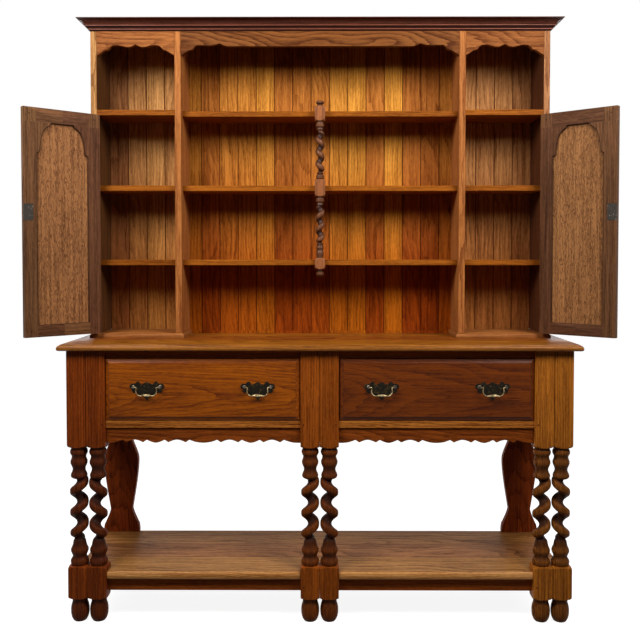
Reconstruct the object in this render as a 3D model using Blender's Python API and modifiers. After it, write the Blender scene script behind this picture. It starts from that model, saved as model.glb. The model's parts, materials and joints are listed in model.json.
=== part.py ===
"""A kitchen dresser in oak: a base with two drawers on twisted legs over a pot board, and a plate
rack with two open cupboards, built piece by piece.

Metres, +Z up. The front faces -Y and +X is to the right when facing the dresser.
"""

import math

import bmesh
import bpy
from mathutils import Matrix, Vector

# Overall sizes
OVERALL_HEIGHT = 2.000
WORKTOP_WIDTH = 1.680
WORKTOP_DEPTH = 0.445
WORKTOP_THICKNESS = 0.020
WORKTOP_TOP = 0.907

# Clearances
SEAT_GAP = 0.0003
DRAWER_GAP = 0.002
DOOR_GAP = 0.002
PIN_CLEARANCE = 0.0003

# Front legs
LEG_WIDTH = 0.062
SIDE_OVERHANG = 0.024
FRONT_OVERHANG = 0.023
UPPER_BLOCK_HEIGHT = 0.317
LOWER_BLOCK_TOP = 0.184
LOWER_BLOCK_BOTTOM = 0.085
BLOCK_CHAMFER = 0.007
BELL_HEIGHT = 0.072
VASE_HEIGHT = 0.088
TWIST_PITCH = 0.067
TURNED_CUT = 0.0015
TWIST_VALLEY = 0.0095
TWIST_CORE = 0.0060
TWIST_PHASE_DROP = 0.0202

# Rear legs
REAR_LEG_INSET = 0.077
REAR_LEG_THICKNESS = 0.024
REAR_LEG_STILE = 0.138
REAR_LEG_FOOT = 0.129
BACK_OVERHANG = 0.003

# Rails and apron of the base
RAIL_THICKNESS = 0.022
RAIL_TONGUE_SETBACK = 0.008
TOP_RAIL_HEIGHT = 0.025
TOP_RAIL_RECESS = 0.012
DRAWER_HEIGHT = 0.199
APRON_RAIL_HEIGHT = 0.023
APRON_RAIL_STEP = 0.006
APRON_RAIL_SETBACK = 0.004
APRON_RECESS = 0.008
APRON_HEIGHT = 0.0727
APRON_RISE = 0.010
APRON_END = 0.0148

# Pot board
POT_TOP = 0.166
POT_THICKNESS = 0.026
POT_END_INSET = 0.016
POT_FRONT_INSET = 0.006
POT_BACK_INSET = 0.015
POT_RAIL_HEIGHT = 0.042
POT_RAIL_RECESS = 0.028

# Base carcass
SIDE_PANEL_INSET = 0.008
SIDE_PANEL_THICKNESS = 0.018
SIDE_PANEL_RAISE = 0.004
BEARER_THICKNESS = 0.020
BEARER_LIP = 0.030
GUIDE_HEIGHT = 0.022
GUIDE_THICKNESS = 0.018
BACK_PANEL_THICKNESS = 0.012
BACK_PANEL_INSET = 0.004

# Drawers
DRAWER_SLAB = 0.018
DRAWER_FIELD_RISE = 0.004
DRAWER_FIELD_MARGIN = 0.013
DRAWER_FIELD_STEP = 0.001
DRAWER_BOX_HEIGHT = 0.150
DRAWER_BACK_ROOM = 0.0227
DRAWER_BOX_WALL = 0.012
DRAWER_BOX_BOTTOM = 0.008
DRAWER_BOX_RAISE = 0.006

# Handles
HANDLE_OFFSET = 0.178
HANDLE_RISE = 0.010
POST_SPACING = 0.085
POST_RADIUS = 0.0032
POST_BALL = 0.0052
POST_REACH = 0.0130
PLATE_THICKNESS = 0.0018
BAIL_RADIUS = 0.0021
BAIL_SWELL = 1.9
BAIL_DROP = 0.0270

# Rack carcass
RACK_END_INSET = 0.050
RACK_DEPTH = 0.190
RACK_BACK_INSET = 0.015
RACK_SIDE = 0.021
CUPBOARD_WIDTH = 0.268
POST_WIDTH = 0.022
CORNICE_HEIGHT = 0.0375
CORNICE_PROJECTION = 0.038
CORNICE_FLOOR = 0.014
CORNICE_WALL = 0.012
BACK_BOARD_THICKNESS = 0.012
BACK_BOARD_INSET = 0.006
BACK_BOARD_COUNT = 23
BOARD_GROOVE = 0.003
FOOT_RAIL_HEIGHT = 0.009
FOOT_RAIL_DEPTH = 0.010
CUPBOARD_BASE_THICKNESS = 0.015
CUPBOARD_BASE_LIP = 0.008
SHELF_THICKNESS = 0.019
NICHE_HEIGHT = 0.2685
SHELF_PITCH = 0.2585
CENTRE_SHELF_RECESS = 0.030
VALANCE_THICKNESS = 0.018
VALANCE_DROP = 0.0825

# Spindle in front of the centre shelves
SPINDLE_WIDTH = 0.036
SPINDLE_CHAMFER = 0.007
SPINDLE_CREST = 0.0155
SPINDLE_VALLEY = 0.0060
SPINDLE_CORE = 0.0040
SPINDLE_PITCH = 0.042

# Doors
DOOR_THICKNESS = 0.020
DOOR_STILE = 0.042
DOOR_TOP_RAIL = 0.045
DOOR_BOTTOM_RAIL = 0.040
DOOR_PANEL_THICKNESS = 0.008
DOOR_PANEL_TONGUE = 0.006
DOOR_FIELD_RISE = 0.003
DOOR_STOP_GAP = 0.0008
DOOR_OPEN_ANGLE = math.radians(139.5)
HEAD_FLAT = 0.037
HEAD_DROP = 0.101

# Hinges
HINGE_EDGE_GAP = 0.003
HINGE_HEIGHT = 0.060
HINGE_LEAF_WIDTH = 0.016
HINGE_LEAF = 0.0010
KNUCKLE_RADIUS = 0.0032
HINGE_PIN_RADIUS = 0.0014
PIVOT_STANDOFF = 0.004
HINGE_INSET = 0.085

# Locks
LOCK_HEIGHT = 0.054
LOCK_WIDTH = 0.030
LOCK_PLATE = 0.0015
LOCK_PROUD = 0.0003
LOCK_CASE_DEPTH = 0.010
LOCK_CASE_MARGIN = 0.004
LOCK_RISE = 0.0344
BOLT_MORTISE_HEIGHT = 0.016
BOLT_MORTISE_WIDTH = 0.008
BOLT_MORTISE_DEPTH = 0.009
KEYHOLE_RADIUS = 0.0025

# Mesh detail
TURNING_STEPS = 12
TWIST_SIDES = 12
TWIST_STEPS_PER_TURN = 7
SPINDLE_STEPS = 8
FINE_STEPS = 10

# Planes that the sizes above fix
WORKTOP_FRONT = -WORKTOP_DEPTH / 2
WORKTOP_BACK = WORKTOP_DEPTH / 2
WORKTOP_UNDER = WORKTOP_TOP - WORKTOP_THICKNESS
LEG_FRONT = WORKTOP_FRONT + FRONT_OVERHANG
LEG_BACK = LEG_FRONT + LEG_WIDTH
LEG_OUTER = WORKTOP_WIDTH / 2 - SIDE_OVERHANG
LEG_PAIR_OFFSET = (LEG_WIDTH + SEAT_GAP) / 2
OUTER_PAIR_X = LEG_OUTER - LEG_WIDTH - SEAT_GAP / 2
UPPER_BLOCK_BOTTOM = WORKTOP_UNDER - UPPER_BLOCK_HEIGHT
TURNED_RADIUS = LEG_WIDTH / 2 - TURNED_CUT
TWIST_BOTTOM = LOWER_BLOCK_TOP + BELL_HEIGHT
TWIST_TOP = UPPER_BLOCK_BOTTOM - VASE_HEIGHT
BAY_OUTER = LEG_OUTER - 2 * LEG_WIDTH - SEAT_GAP
BAY_INNER = LEG_WIDTH + SEAT_GAP / 2
BAY_CENTRE = (BAY_OUTER + BAY_INNER) / 2
BAY_HALF = (BAY_OUTER - BAY_INNER) / 2
REAR_LEG_BACK = WORKTOP_BACK - BACK_OVERHANG
REAR_LEG_FRONT = REAR_LEG_BACK - REAR_LEG_THICKNESS
REAR_LEG_X = LEG_OUTER - REAR_LEG_INSET
DRAWER_TOP = WORKTOP_UNDER - SEAT_GAP - TOP_RAIL_HEIGHT - DRAWER_GAP
DRAWER_BOTTOM = DRAWER_TOP - DRAWER_HEIGHT
APRON_TOP = DRAWER_BOTTOM - DRAWER_GAP
APRON_BOTTOM = APRON_TOP - APRON_HEIGHT
SIDE_PANEL_BOTTOM = APRON_BOTTOM + SIDE_PANEL_RAISE
BOX_BOTTOM = DRAWER_BOTTOM + DRAWER_BOX_RAISE
BEARER_TOP = BOX_BOTTOM - SEAT_GAP
RACK_BACK = WORKTOP_BACK - RACK_BACK_INSET
RACK_FRONT = RACK_BACK - RACK_DEPTH
RACK_HALF = WORKTOP_WIDTH / 2 - RACK_END_INSET
RACK_INNER = RACK_HALF - RACK_SIDE
BOARDS_BACK = RACK_BACK - BACK_BOARD_INSET
BOARDS_FRONT = BOARDS_BACK - BACK_BOARD_THICKNESS
CORNICE_BOTTOM = OVERALL_HEIGHT - CORNICE_HEIGHT
CUPBOARD_FLOOR = WORKTOP_TOP + SEAT_GAP + CUPBOARD_BASE_THICKNESS
NICHE_FLOOR_TOP = CORNICE_BOTTOM - NICHE_HEIGHT
NICHE_FLOOR_UNDER = NICHE_FLOOR_TOP - SHELF_THICKNESS
UPPER_SHELF_TOP = NICHE_FLOOR_TOP - SHELF_PITCH
LOWER_SHELF_TOP = UPPER_SHELF_TOP - SHELF_PITCH
POST_OUTER = RACK_INNER - CUPBOARD_WIDTH
POST_INNER = POST_OUTER - POST_WIDTH
DOOR_WIDTH = RACK_INNER - POST_OUTER - HINGE_EDGE_GAP - DOOR_GAP
DOOR_BOTTOM = CUPBOARD_FLOOR + DOOR_GAP
DOOR_TOP = NICHE_FLOOR_UNDER - DOOR_GAP
LOCK_Z = (DOOR_TOP + DOOR_BOTTOM) / 2 + LOCK_RISE
PIVOT_X = RACK_INNER - HINGE_EDGE_GAP / 2
PIVOT_Y = RACK_FRONT - PIVOT_STANDOFF
DRAWER_FRONT_FACE = LEG_FRONT + DRAWER_FIELD_RISE

# Colour, roughness and metallic value of each finish
FINISHES = {
    "oak_top": ((0.33, 0.135, 0.040), 0.38, 0.0),
    "oak_frame": ((0.36, 0.150, 0.045), 0.42, 0.0),
    "oak_turned": ((0.16, 0.060, 0.022), 0.40, 0.0),
    "oak_drawer": ((0.36, 0.130, 0.034), 0.38, 0.0),
    "oak_board": ((0.45, 0.200, 0.060), 0.48, 0.0),
    "oak_door": ((0.27, 0.145, 0.070), 0.45, 0.0),
    "oak_panel": ((0.38, 0.190, 0.085), 0.45, 0.0),
    "pale_lining": ((0.55, 0.38, 0.22), 0.60, 0.0),
    "antique_brass": ((0.20, 0.140, 0.060), 0.35, 1.0),
    "bright_brass": ((0.62, 0.500, 0.250), 0.28, 1.0),
    "dark_steel": ((0.06, 0.055, 0.050), 0.45, 1.0),
}


def make_collection(name):
    """Return a new collection linked to the scene."""
    collection = bpy.data.collections.new(name)
    bpy.context.scene.collection.children.link(collection)
    return collection


def make_materials():
    """Return one Principled material for each finish."""
    materials = {}
    for name, (rgb, roughness, metallic) in FINISHES.items():
        material = bpy.data.materials.new(name)
        material.use_nodes = True
        shader = material.node_tree.nodes["Principled BSDF"]
        shader.inputs["Base Color"].default_value = (*rgb, 1.0)
        shader.inputs["Roughness"].default_value = roughness
        shader.inputs["Metallic"].default_value = metallic
        materials[name] = material
    return materials


for leftover in list(bpy.data.objects):
    bpy.data.objects.remove(leftover, do_unlink=True)
PARTS = make_collection("kitchen_dresser")
CUTTERS = make_collection("cutters")
MATERIALS = make_materials()


def add_mesh(name, bm, finish):
    """Turn a bmesh into an object, in the parts or, with no finish, among the cutters."""
    bmesh.ops.recalc_face_normals(bm, faces=bm.faces)
    mesh = bpy.data.meshes.new(name)
    bm.to_mesh(mesh)
    bm.free()
    obj = bpy.data.objects.new(name, mesh)
    if finish:
        mesh.materials.append(MATERIALS[finish])
        PARTS.objects.link(obj)
    else:
        CUTTERS.objects.link(obj)
        obj.hide_render = True
        obj.display_type = "WIRE"
    return obj


def box_bmesh(x, y, z):
    """Return a bmesh cuboid between three (low, high) pairs, given in either order."""
    bm = bmesh.new()
    bmesh.ops.create_cube(bm, size=1.0)
    size = [abs(high - low) for low, high in (x, y, z)]
    centre = [(low + high) / 2 for low, high in (x, y, z)]
    bmesh.ops.transform(bm, matrix=Matrix.Translation(centre) @ Matrix.Diagonal((*size, 1.0)),
                        verts=bm.verts)
    return bm


def add_bevel(obj, width, segments=1):
    """Round an object's sharp edges."""
    bevel = obj.modifiers.new("rounding", "BEVEL")
    bevel.width = width
    bevel.segments = segments
    bevel.limit_method = "ANGLE"
    bevel.angle_limit = math.radians(40)
    return obj


def box(name, x, y, z, finish=None, bevel=0.0):
    """Make a board or block between three (low, high) pairs."""
    obj = add_mesh(name, box_bmesh(x, y, z), finish)
    return add_bevel(obj, bevel) if bevel else obj


def cylinder(name, radius, length, turn, centre):
    """Make a cylinder about a centre, stood upright and then turned a quarter about X, Y or Z."""
    bm = bmesh.new()
    bmesh.ops.create_cone(bm, cap_ends=True, segments=FINE_STEPS, radius1=radius, radius2=radius,
                          depth=length)
    bmesh.ops.transform(bm, verts=bm.verts,
                        matrix=Matrix.Translation(centre) @ Matrix.Rotation(math.pi / 2, 4, turn))
    return smooth(add_mesh(name, bm, None))


def boolean(obj, cutter, operation="DIFFERENCE"):
    """Cut an object with a cutter, or join the cutter to it."""
    modifier = obj.modifiers.new(operation.lower(), "BOOLEAN")
    modifier.operation = operation
    modifier.solver = "EXACT"
    modifier.object = cutter
    return obj


def smooth(obj, angle=40):
    """Shade an object smooth, with its sharp edges kept."""
    for polygon in obj.data.polygons:
        polygon.use_smooth = True
    obj.data.set_sharp_from_angle(angle=math.radians(angle))
    return obj


def flat_outline(name, loops, thickness, finish=None, axis="Y", at=(0.0, 0.0, 0.0)):
    """Extrude closed outlines into a board, with any inner outline as a hole.

    On axis Y an outline's (u, v) is (x, z), and on axis Z it is (x, y). The board is centred on
    the point at, along the axis.
    """
    curve = bpy.data.curves.new(name, "CURVE")
    curve.dimensions = "2D"
    curve.fill_mode = "BOTH"
    curve.extrude = thickness / 2
    for loop in loops:
        spline = curve.splines.new("POLY")
        spline.points.add(len(loop) - 1)
        for point, (u, v) in zip(spline.points, loop):
            point.co = (u, v, 0.0, 1.0)
        spline.use_cyclic_u = True
    source = bpy.data.objects.new(name + "_outline", curve)
    CUTTERS.objects.link(source)
    evaluated = source.evaluated_get(bpy.context.evaluated_depsgraph_get())
    mesh = bpy.data.meshes.new_from_object(evaluated)
    turn = Matrix.Rotation(math.radians(90), 4, "X") if axis == "Y" else Matrix.Identity(4)
    bm = bmesh.new()
    bm.from_mesh(mesh)
    bmesh.ops.remove_doubles(bm, verts=bm.verts, dist=1e-6)
    bmesh.ops.transform(bm, matrix=Matrix.Translation(at) @ turn, verts=bm.verts)
    bpy.data.objects.remove(source, do_unlink=True)
    bpy.data.meshes.remove(mesh)
    return add_mesh(name, bm, finish)


def moulded_board(name, x, y, z_bottom, profile, finish):
    """Grow a board upward through the points of its edge moulding.

    profile holds (projection, height) pairs, which the front edge and both ends follow. The back
    edge stays square.
    """
    signs = [(-1, 0), (-1, -1), (1, -1), (1, 0)]
    corners = [Vector((x[0], y[1])), Vector((x[0], y[0])), Vector((x[1], y[0])), Vector((x[1], y[1]))]
    bm = bmesh.new()
    face = bm.faces.new([bm.verts.new((*corner, 0.0)) for corner in corners])

    def shape(ring, projection, height):
        for vertex in ring:
            nearest = min(range(4), key=lambda i: (vertex.co.xy - corners[i]).length)
            reach = Vector(signs[nearest]) * projection
            vertex.co = (*(corners[nearest] + reach), z_bottom + height)

    shape(face.verts, *profile[0])
    for index, (projection, height) in enumerate(profile[1:]):
        inner = face
        grown = bmesh.ops.extrude_face_region(bm, geom=[inner])["geom"]
        face = next(item for item in grown if isinstance(item, bmesh.types.BMFace))
        shape(face.verts, projection, height)
        if index:
            bm.faces.remove(inner)
    return add_mesh(name, bm, finish)


def turning(name, profile, x, y, finish=None, steps=TURNING_STEPS):
    """Spin a (radius, height) profile, given from the top down, about an upright axis."""
    bm = bmesh.new()
    points = [bm.verts.new((radius, 0.0, height)) for radius, height in profile]
    for upper, lower in zip(points, points[1:]):
        bm.edges.new((upper, lower))
    mesh = bpy.data.meshes.new(name)
    bm.to_mesh(mesh)
    bm.free()
    obj = bpy.data.objects.new(name, mesh)
    (PARTS if finish else CUTTERS).objects.link(obj)
    obj.location = (x, y, 0.0)
    if finish:
        mesh.materials.append(MATERIALS[finish])
    else:
        obj.hide_render = True
        obj.display_type = "WIRE"
    screw = obj.modifiers.new("turning", "SCREW")
    screw.steps = steps
    screw.render_steps = steps
    screw.use_merge_vertices = True
    screw.merge_threshold = 0.00005
    screw.use_normal_calculate = True
    return obj


def twist(name, x, y, bottom, top, crest, valley, pitch, hand, crest_height, sides=TWIST_SIDES):
    """Make a barley twist: one strand wound about its axis, dying away into its ends.

    hand is 1 for a strand that climbs to the right as seen from the front, and -1 for its
    mirror image. At crest_height the crest points to the +X side, or to -X where hand is -1.
    """
    turns = (top - bottom) / pitch
    steps = round(turns * TWIST_STEPS_PER_TURN)
    start = (0.0 if hand > 0 else math.pi) - hand * math.tau * (crest_height - bottom) / pitch
    strand = (crest + valley) / 2
    offset = (crest - valley) / 2
    bm = bmesh.new()
    ring = []
    for index in range(sides):
        angle = math.tau * index / sides
        ring.append(bm.verts.new((offset * math.cos(start) + strand * math.cos(start + angle),
                                  offset * math.sin(start) + strand * math.sin(start + angle), bottom)))
    section = bm.faces.new(ring)
    bmesh.ops.spin(bm, geom=[section, *section.edges, *section.verts], cent=(0.0, 0.0, 0.0),
                   axis=(0.0, 0.0, 1.0), dvec=(0.0, 0.0, (top - bottom) / steps),
                   angle=hand * math.tau * turns, steps=steps, use_duplicate=False)
    ramp = pitch / 2
    for vertex in bm.verts:
        depth = min(vertex.co.z - bottom, top - vertex.co.z)
        swell = math.sin(math.pi / 2 * min(1.0, max(0.0, depth) / ramp))
        radius = vertex.co.xy.length
        wanted = valley + (radius - valley) * swell
        vertex.co.x *= wanted / radius
        vertex.co.y *= wanted / radius
    bmesh.ops.translate(bm, vec=(x, y, 0.0), verts=bm.verts)
    return smooth(add_mesh(name, bm, None))


def chamfered_block(name, x, y, z, bottom_chamfer, top_chamfer):
    """Make a square block whose end arrises are cut away all round."""
    bm = box_bmesh(x, y, z)
    for level, chamfer in ((z[0], bottom_chamfer), (z[1], top_chamfer)):
        if chamfer:
            rim = [edge for edge in bm.edges if all(abs(v.co.z - level) < 1e-6 for v in edge.verts)]
            bmesh.ops.bevel(bm, geom=rim, offset=chamfer, segments=2, profile=0.5, affect="EDGES")
    return add_mesh(name, bm, None)


def stretch(shape, radius, bottom, height):
    """Size a turned shape whose points are shares of its full radius and of its height."""
    return [(radius * out, bottom + height * up) for out, up in shape]


def leg_turning():
    """Return a front leg's turned profile, from inside its upper block down to the floor."""
    vase = [(0.0, 1.12), (0.76, 1.12), (0.76, 0.89), (0.90, 0.84), (0.93, 0.785), (0.90, 0.73),
            (0.785, 0.66), (0.89, 0.56), (0.92, 0.465), (0.89, 0.36), (0.77, 0.26), (0.75, 0.18),
            (0.82, 0.05), (0.81, -0.02), (0.68, -0.09)]
    bell = [(0.61, 1.14), (0.69, 0.89), (0.73, 0.75), (0.90, 0.61), (0.92, 0.55), (0.73, 0.445),
            (0.69, 0.39), (0.83, 0.22), (0.93, 0.11), (0.93, 0.04), (0.86, -0.03)]
    foot = [(0.76, 1.03), (0.76, 0.94), (0.81, 0.895), (0.78, 0.85), (0.93, 0.72), (1.0, 0.55),
            (0.98, 0.32), (0.85, 0.11), (0.63, 0.0), (0.0, 0.0)]
    core = [(TWIST_CORE, TWIST_TOP - VASE_HEIGHT * 0.18), (TWIST_CORE, TWIST_BOTTOM + BELL_HEIGHT * 0.22)]
    return (stretch(vase, TURNED_RADIUS, TWIST_TOP, VASE_HEIGHT) + core
            + stretch(bell, TURNED_RADIUS, LOWER_BLOCK_TOP, BELL_HEIGHT)
            + stretch(foot, TURNED_RADIUS, 0.0, LOWER_BLOCK_BOTTOM))


def front_leg(name, x, hand):
    """Make one front leg: two square blocks, a barley twist between turned ends, and a bun foot."""
    y = LEG_FRONT + LEG_WIDTH / 2
    half = LEG_WIDTH / 2
    leg = turning(name, leg_turning(), x, y, "oak_turned")
    upper = chamfered_block(name + "_upper_block", (x - half, x + half), (LEG_FRONT, LEG_BACK),
                            (UPPER_BLOCK_BOTTOM, WORKTOP_UNDER - SEAT_GAP), BLOCK_CHAMFER, 0.0)
    lower = chamfered_block(name + "_lower_block", (x - half, x + half), (LEG_FRONT, LEG_BACK),
                            (LOWER_BLOCK_BOTTOM, LOWER_BLOCK_TOP), BLOCK_CHAMFER, BLOCK_CHAMFER / 2)
    strand = twist(name + "_strand", x, y, TWIST_BOTTOM, TWIST_TOP, TURNED_RADIUS, TWIST_VALLEY,
                   TWIST_PITCH, hand, TWIST_TOP - TWIST_PHASE_DROP)
    for piece in (upper, lower, strand):
        boolean(leg, piece, "UNION")
    return leg


def housing(leg, name, rail):
    """Cut the slot in a leg that a long rail's thinned middle runs through, with a gap all round."""
    x, y, z = rail
    slot = box("%s_%s_slot" % (leg.name, name), x,
               (y[0] + RAIL_TONGUE_SETBACK - SEAT_GAP, y[1] + SEAT_GAP),
               (z[0] - SEAT_GAP, z[1] + SEAT_GAP))
    boolean(leg, slot)


def rail_spans():
    """Return the (x, y, z) spans of the top rail, the apron and the pot board's rail."""
    reach = (-BAY_OUTER + SEAT_GAP, BAY_OUTER - SEAT_GAP)
    top_y = LEG_FRONT + TOP_RAIL_RECESS
    apron_y = LEG_FRONT + APRON_RECESS
    pot_y = LEG_FRONT + POT_RAIL_RECESS
    pot_top = POT_TOP - POT_THICKNESS - SEAT_GAP
    return {
        "top_rail": (reach, (top_y, top_y + RAIL_THICKNESS),
                     (WORKTOP_UNDER - SEAT_GAP - TOP_RAIL_HEIGHT, WORKTOP_UNDER - SEAT_GAP)),
        "apron": (reach, (apron_y, apron_y + RAIL_THICKNESS), (APRON_BOTTOM, APRON_TOP)),
        "pot_board_rail": (reach, (pot_y, pot_y + RAIL_THICKNESS),
                           (pot_top - POT_RAIL_HEIGHT, pot_top)),
    }


def make_front_legs():
    """Make the six front legs in three pairs, and house the long rails in the centre pair."""
    rails = rail_spans()
    for place, centre in (("left", -OUTER_PAIR_X), ("centre", 0.0), ("right", OUTER_PAIR_X)):
        for side, sign in (("left", -1), ("right", 1)):
            name = "front_leg_%s_pair_%s" % (place, side)
            leg = front_leg(name, centre + sign * LEG_PAIR_OFFSET, -sign)
            if place == "centre":
                for rail, span in rails.items():
                    housing(leg, rail, span)


def apron_outline(x, z):
    """Return the apron's outline: convex arcs with cusped arches between them, in both bays."""
    swell = [(0.0, 0.0), (0.08, 0.25), (0.15, 0.95)]
    arch = [(0.19, 0.15), (0.233, 0.7), (0.283, 1.0), (0.333, 0.7), (0.377, 0.15)]
    second = [(0.417, 0.95), (0.467, 0.3), (0.513, 0.0), (0.56, 0.3), (0.61, 0.95)]
    last = [(0.65, 0.15), (0.693, 0.7), (0.74, 1.0), (0.787, 0.7), (0.83, 0.15)]
    half_bay = swell + arch + second + last + [(0.87, 0.95), (0.94, 0.25), (1.0, 0.0)]
    reach = BAY_HALF - APRON_END
    bay = [(-out, up) for out, up in reversed(half_bay[1:])] + half_bay
    bottom = [(centre + reach * out, z[0] + APRON_RISE * up)
              for centre in (-BAY_CENTRE, BAY_CENTRE) for out, up in bay]
    bottom = [(x[0], z[0])] + bottom + [(x[1], z[0])]
    return [(x[0], z[1]), *bottom, (x[1], z[1])]


def thin_middle(rail, span):
    """Cut back a long rail's face where it runs through the centre legs."""
    reach = BAY_INNER + SEAT_GAP
    y, z = span[1:]
    shoulder = box(rail.name + "_shoulder", (-reach, reach), (y[0] - LEG_WIDTH, y[0] + RAIL_TONGUE_SETBACK),
                   (z[0] - LEG_WIDTH, z[1] + LEG_WIDTH))
    boolean(rail, shoulder)


def make_rails():
    """Make the top rail, the shaped apron with its drawer rail, and the pot board's rail."""
    spans = rail_spans()
    for name in ("top_rail", "pot_board_rail"):
        thin_middle(box(name, *spans[name], "oak_frame"), spans[name])
    x, y, z = spans["apron"]
    board_y = (y[0] + APRON_RAIL_STEP, y[1])
    apron = flat_outline("apron", [apron_outline(x, z)], board_y[1] - board_y[0], "oak_frame",
                         at=(0.0, sum(board_y) / 2, 0.0))
    rail = box("apron_rail", x, (y[0], y[1] - APRON_RAIL_SETBACK),
               (z[1] - APRON_RAIL_HEIGHT, z[1]))
    boolean(apron, rail, "UNION")
    thin_middle(apron, spans["apron"])


def rear_leg_outline(sign):
    """Return a rear leg's outline: a wide stile, a neck, a knee, a waist and a spreading foot."""
    half = REAR_LEG_STILE / 2
    foot = REAR_LEG_FOOT / 2
    top = WORKTOP_UNDER - SEAT_GAP
    knee = UPPER_BLOCK_BOTTOM
    board = POT_TOP - POT_THICKNESS
    right = [(half, top), (half, knee + 0.015), (half * 0.75, knee + 0.002), (half * 0.565, knee - 0.022),
             (half * 0.55, knee - 0.042), (half * 0.61, knee - 0.068), (half * 0.78, knee - 0.098),
             (half * 0.90, knee - 0.125), (half * 0.905, knee - 0.155), (foot * 0.90, board + 0.230),
             (foot * 0.775, board + 0.175), (foot * 0.645, board + 0.125), (foot * 0.62, board + 0.110),
             (foot * 0.715, board + 0.090), (foot * 0.885, board + 0.065), (foot * 0.985, board + 0.050),
             (foot, board + 0.020), (foot * 0.775, board), (foot * 0.775, 0.0)]
    left = [(-u, v) for u, v in reversed(right)]
    return [(sign * REAR_LEG_X + u, v) for u, v in right + left]


def make_rear_legs():
    """Make the two flat shaped rear legs."""
    for side, sign in (("left", -1), ("right", 1)):
        flat_outline("rear_leg_" + side, [rear_leg_outline(sign)], REAR_LEG_THICKNESS, "oak_frame",
                     at=(0.0, (REAR_LEG_FRONT + REAR_LEG_BACK) / 2, 0.0))


def make_worktop():
    """Make the worktop with its thumbnail moulding on the front and the ends."""
    t = WORKTOP_THICKNESS
    drop = 0.006
    profile = [(-drop, 0.0), (-0.0015, t * 0.12), (0.0, t * 0.35), (-0.001, t * 0.60), (-0.0035, t * 0.80),
               (-0.0070, t * 0.90), (-0.0085, t * 0.91), (-0.0095, t)]
    half = WORKTOP_WIDTH / 2
    moulded_board("worktop", (-half, half), (WORKTOP_FRONT, WORKTOP_BACK), WORKTOP_UNDER, profile,
                  "oak_top")


def make_pot_board():
    """Make the pot board, notched round the legs."""
    t = POT_THICKNESS
    half = LEG_OUTER - POT_END_INSET
    front = LEG_FRONT + POT_FRONT_INSET
    back = WORKTOP_BACK - POT_BACK_INSET
    profile = [(-0.006, 0.0), (-0.001, t * 0.2), (0.0, t * 0.5), (-0.001, t * 0.8), (-0.006, t)]
    board = moulded_board("pot_board", (-half, half), (front, back), POT_TOP - t, profile, "oak_top")
    z = (POT_TOP - 2 * t, POT_TOP + t)
    reach = LEG_WIDTH + 2 * SEAT_GAP
    for place, centre in (("left", -OUTER_PAIR_X), ("centre", 0.0), ("right", OUTER_PAIR_X)):
        notch = box("pot_board_notch_" + place, (centre - reach, centre + reach),
                    (front - t, LEG_BACK + SEAT_GAP), z)
        boolean(board, notch)
    for side, sign in (("left", -1), ("right", 1)):
        room = REAR_LEG_FOOT / 2 + SEAT_GAP
        notch = box("pot_board_rear_notch_" + side, (sign * REAR_LEG_X - room, sign * REAR_LEG_X + room),
                    (REAR_LEG_FRONT - SEAT_GAP, back + t), z)
        boolean(board, notch)


def make_base_carcass():
    """Make the side panels with their drawer bearers, the centre bearer and the back panel."""
    front = LEG_BACK + SEAT_GAP
    back = REAR_LEG_FRONT - SEAT_GAP
    top = WORKTOP_UNDER - SEAT_GAP
    middle = (0.0, (front + back) / 2, 0.0)
    shelf = BEARER_TOP - BEARER_THICKNESS
    outer = LEG_OUTER - SIDE_PANEL_INSET
    inner = outer - SIDE_PANEL_THICKNESS
    guide = BEARER_TOP + GUIDE_HEIGHT
    for side, sign in (("left", -1), ("right", 1)):
        outline = [(outer, SIDE_PANEL_BOTTOM), (outer, top), (inner, top), (inner, BEARER_TOP),
                   (BAY_OUTER + GUIDE_THICKNESS, BEARER_TOP), (BAY_OUTER + GUIDE_THICKNESS, guide),
                   (BAY_OUTER, guide), (BAY_OUTER, BEARER_TOP), (BAY_OUTER - BEARER_LIP, BEARER_TOP),
                   (BAY_OUTER - BEARER_LIP, shelf), (inner, shelf), (inner, SIDE_PANEL_BOTTOM)]
        flat_outline("base_side_" + side, [[(sign * u, v) for u, v in outline]], back - front,
                     "oak_frame", at=middle)
    half = [(BAY_INNER + BEARER_LIP, shelf), (BAY_INNER + BEARER_LIP, BEARER_TOP),
            (BAY_INNER, BEARER_TOP), (BAY_INNER, guide), (BAY_INNER - GUIDE_THICKNESS, guide),
            (BAY_INNER - GUIDE_THICKNESS, BEARER_TOP)]
    outline = half + [(-u, v) for u, v in reversed(half)]
    panel_front = REAR_LEG_BACK - BACK_PANEL_INSET - BACK_PANEL_THICKNESS
    length = panel_front - SEAT_GAP - front
    flat_outline("drawer_bearer_centre", [outline], length, "pale_lining",
                 at=(0.0, front + length / 2, 0.0))
    reach = REAR_LEG_X - REAR_LEG_STILE / 2 - SEAT_GAP
    box("base_back", (-reach, reach), (panel_front, panel_front + BACK_PANEL_THICKNESS),
        (SIDE_PANEL_BOTTOM, top), "oak_board")


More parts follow.
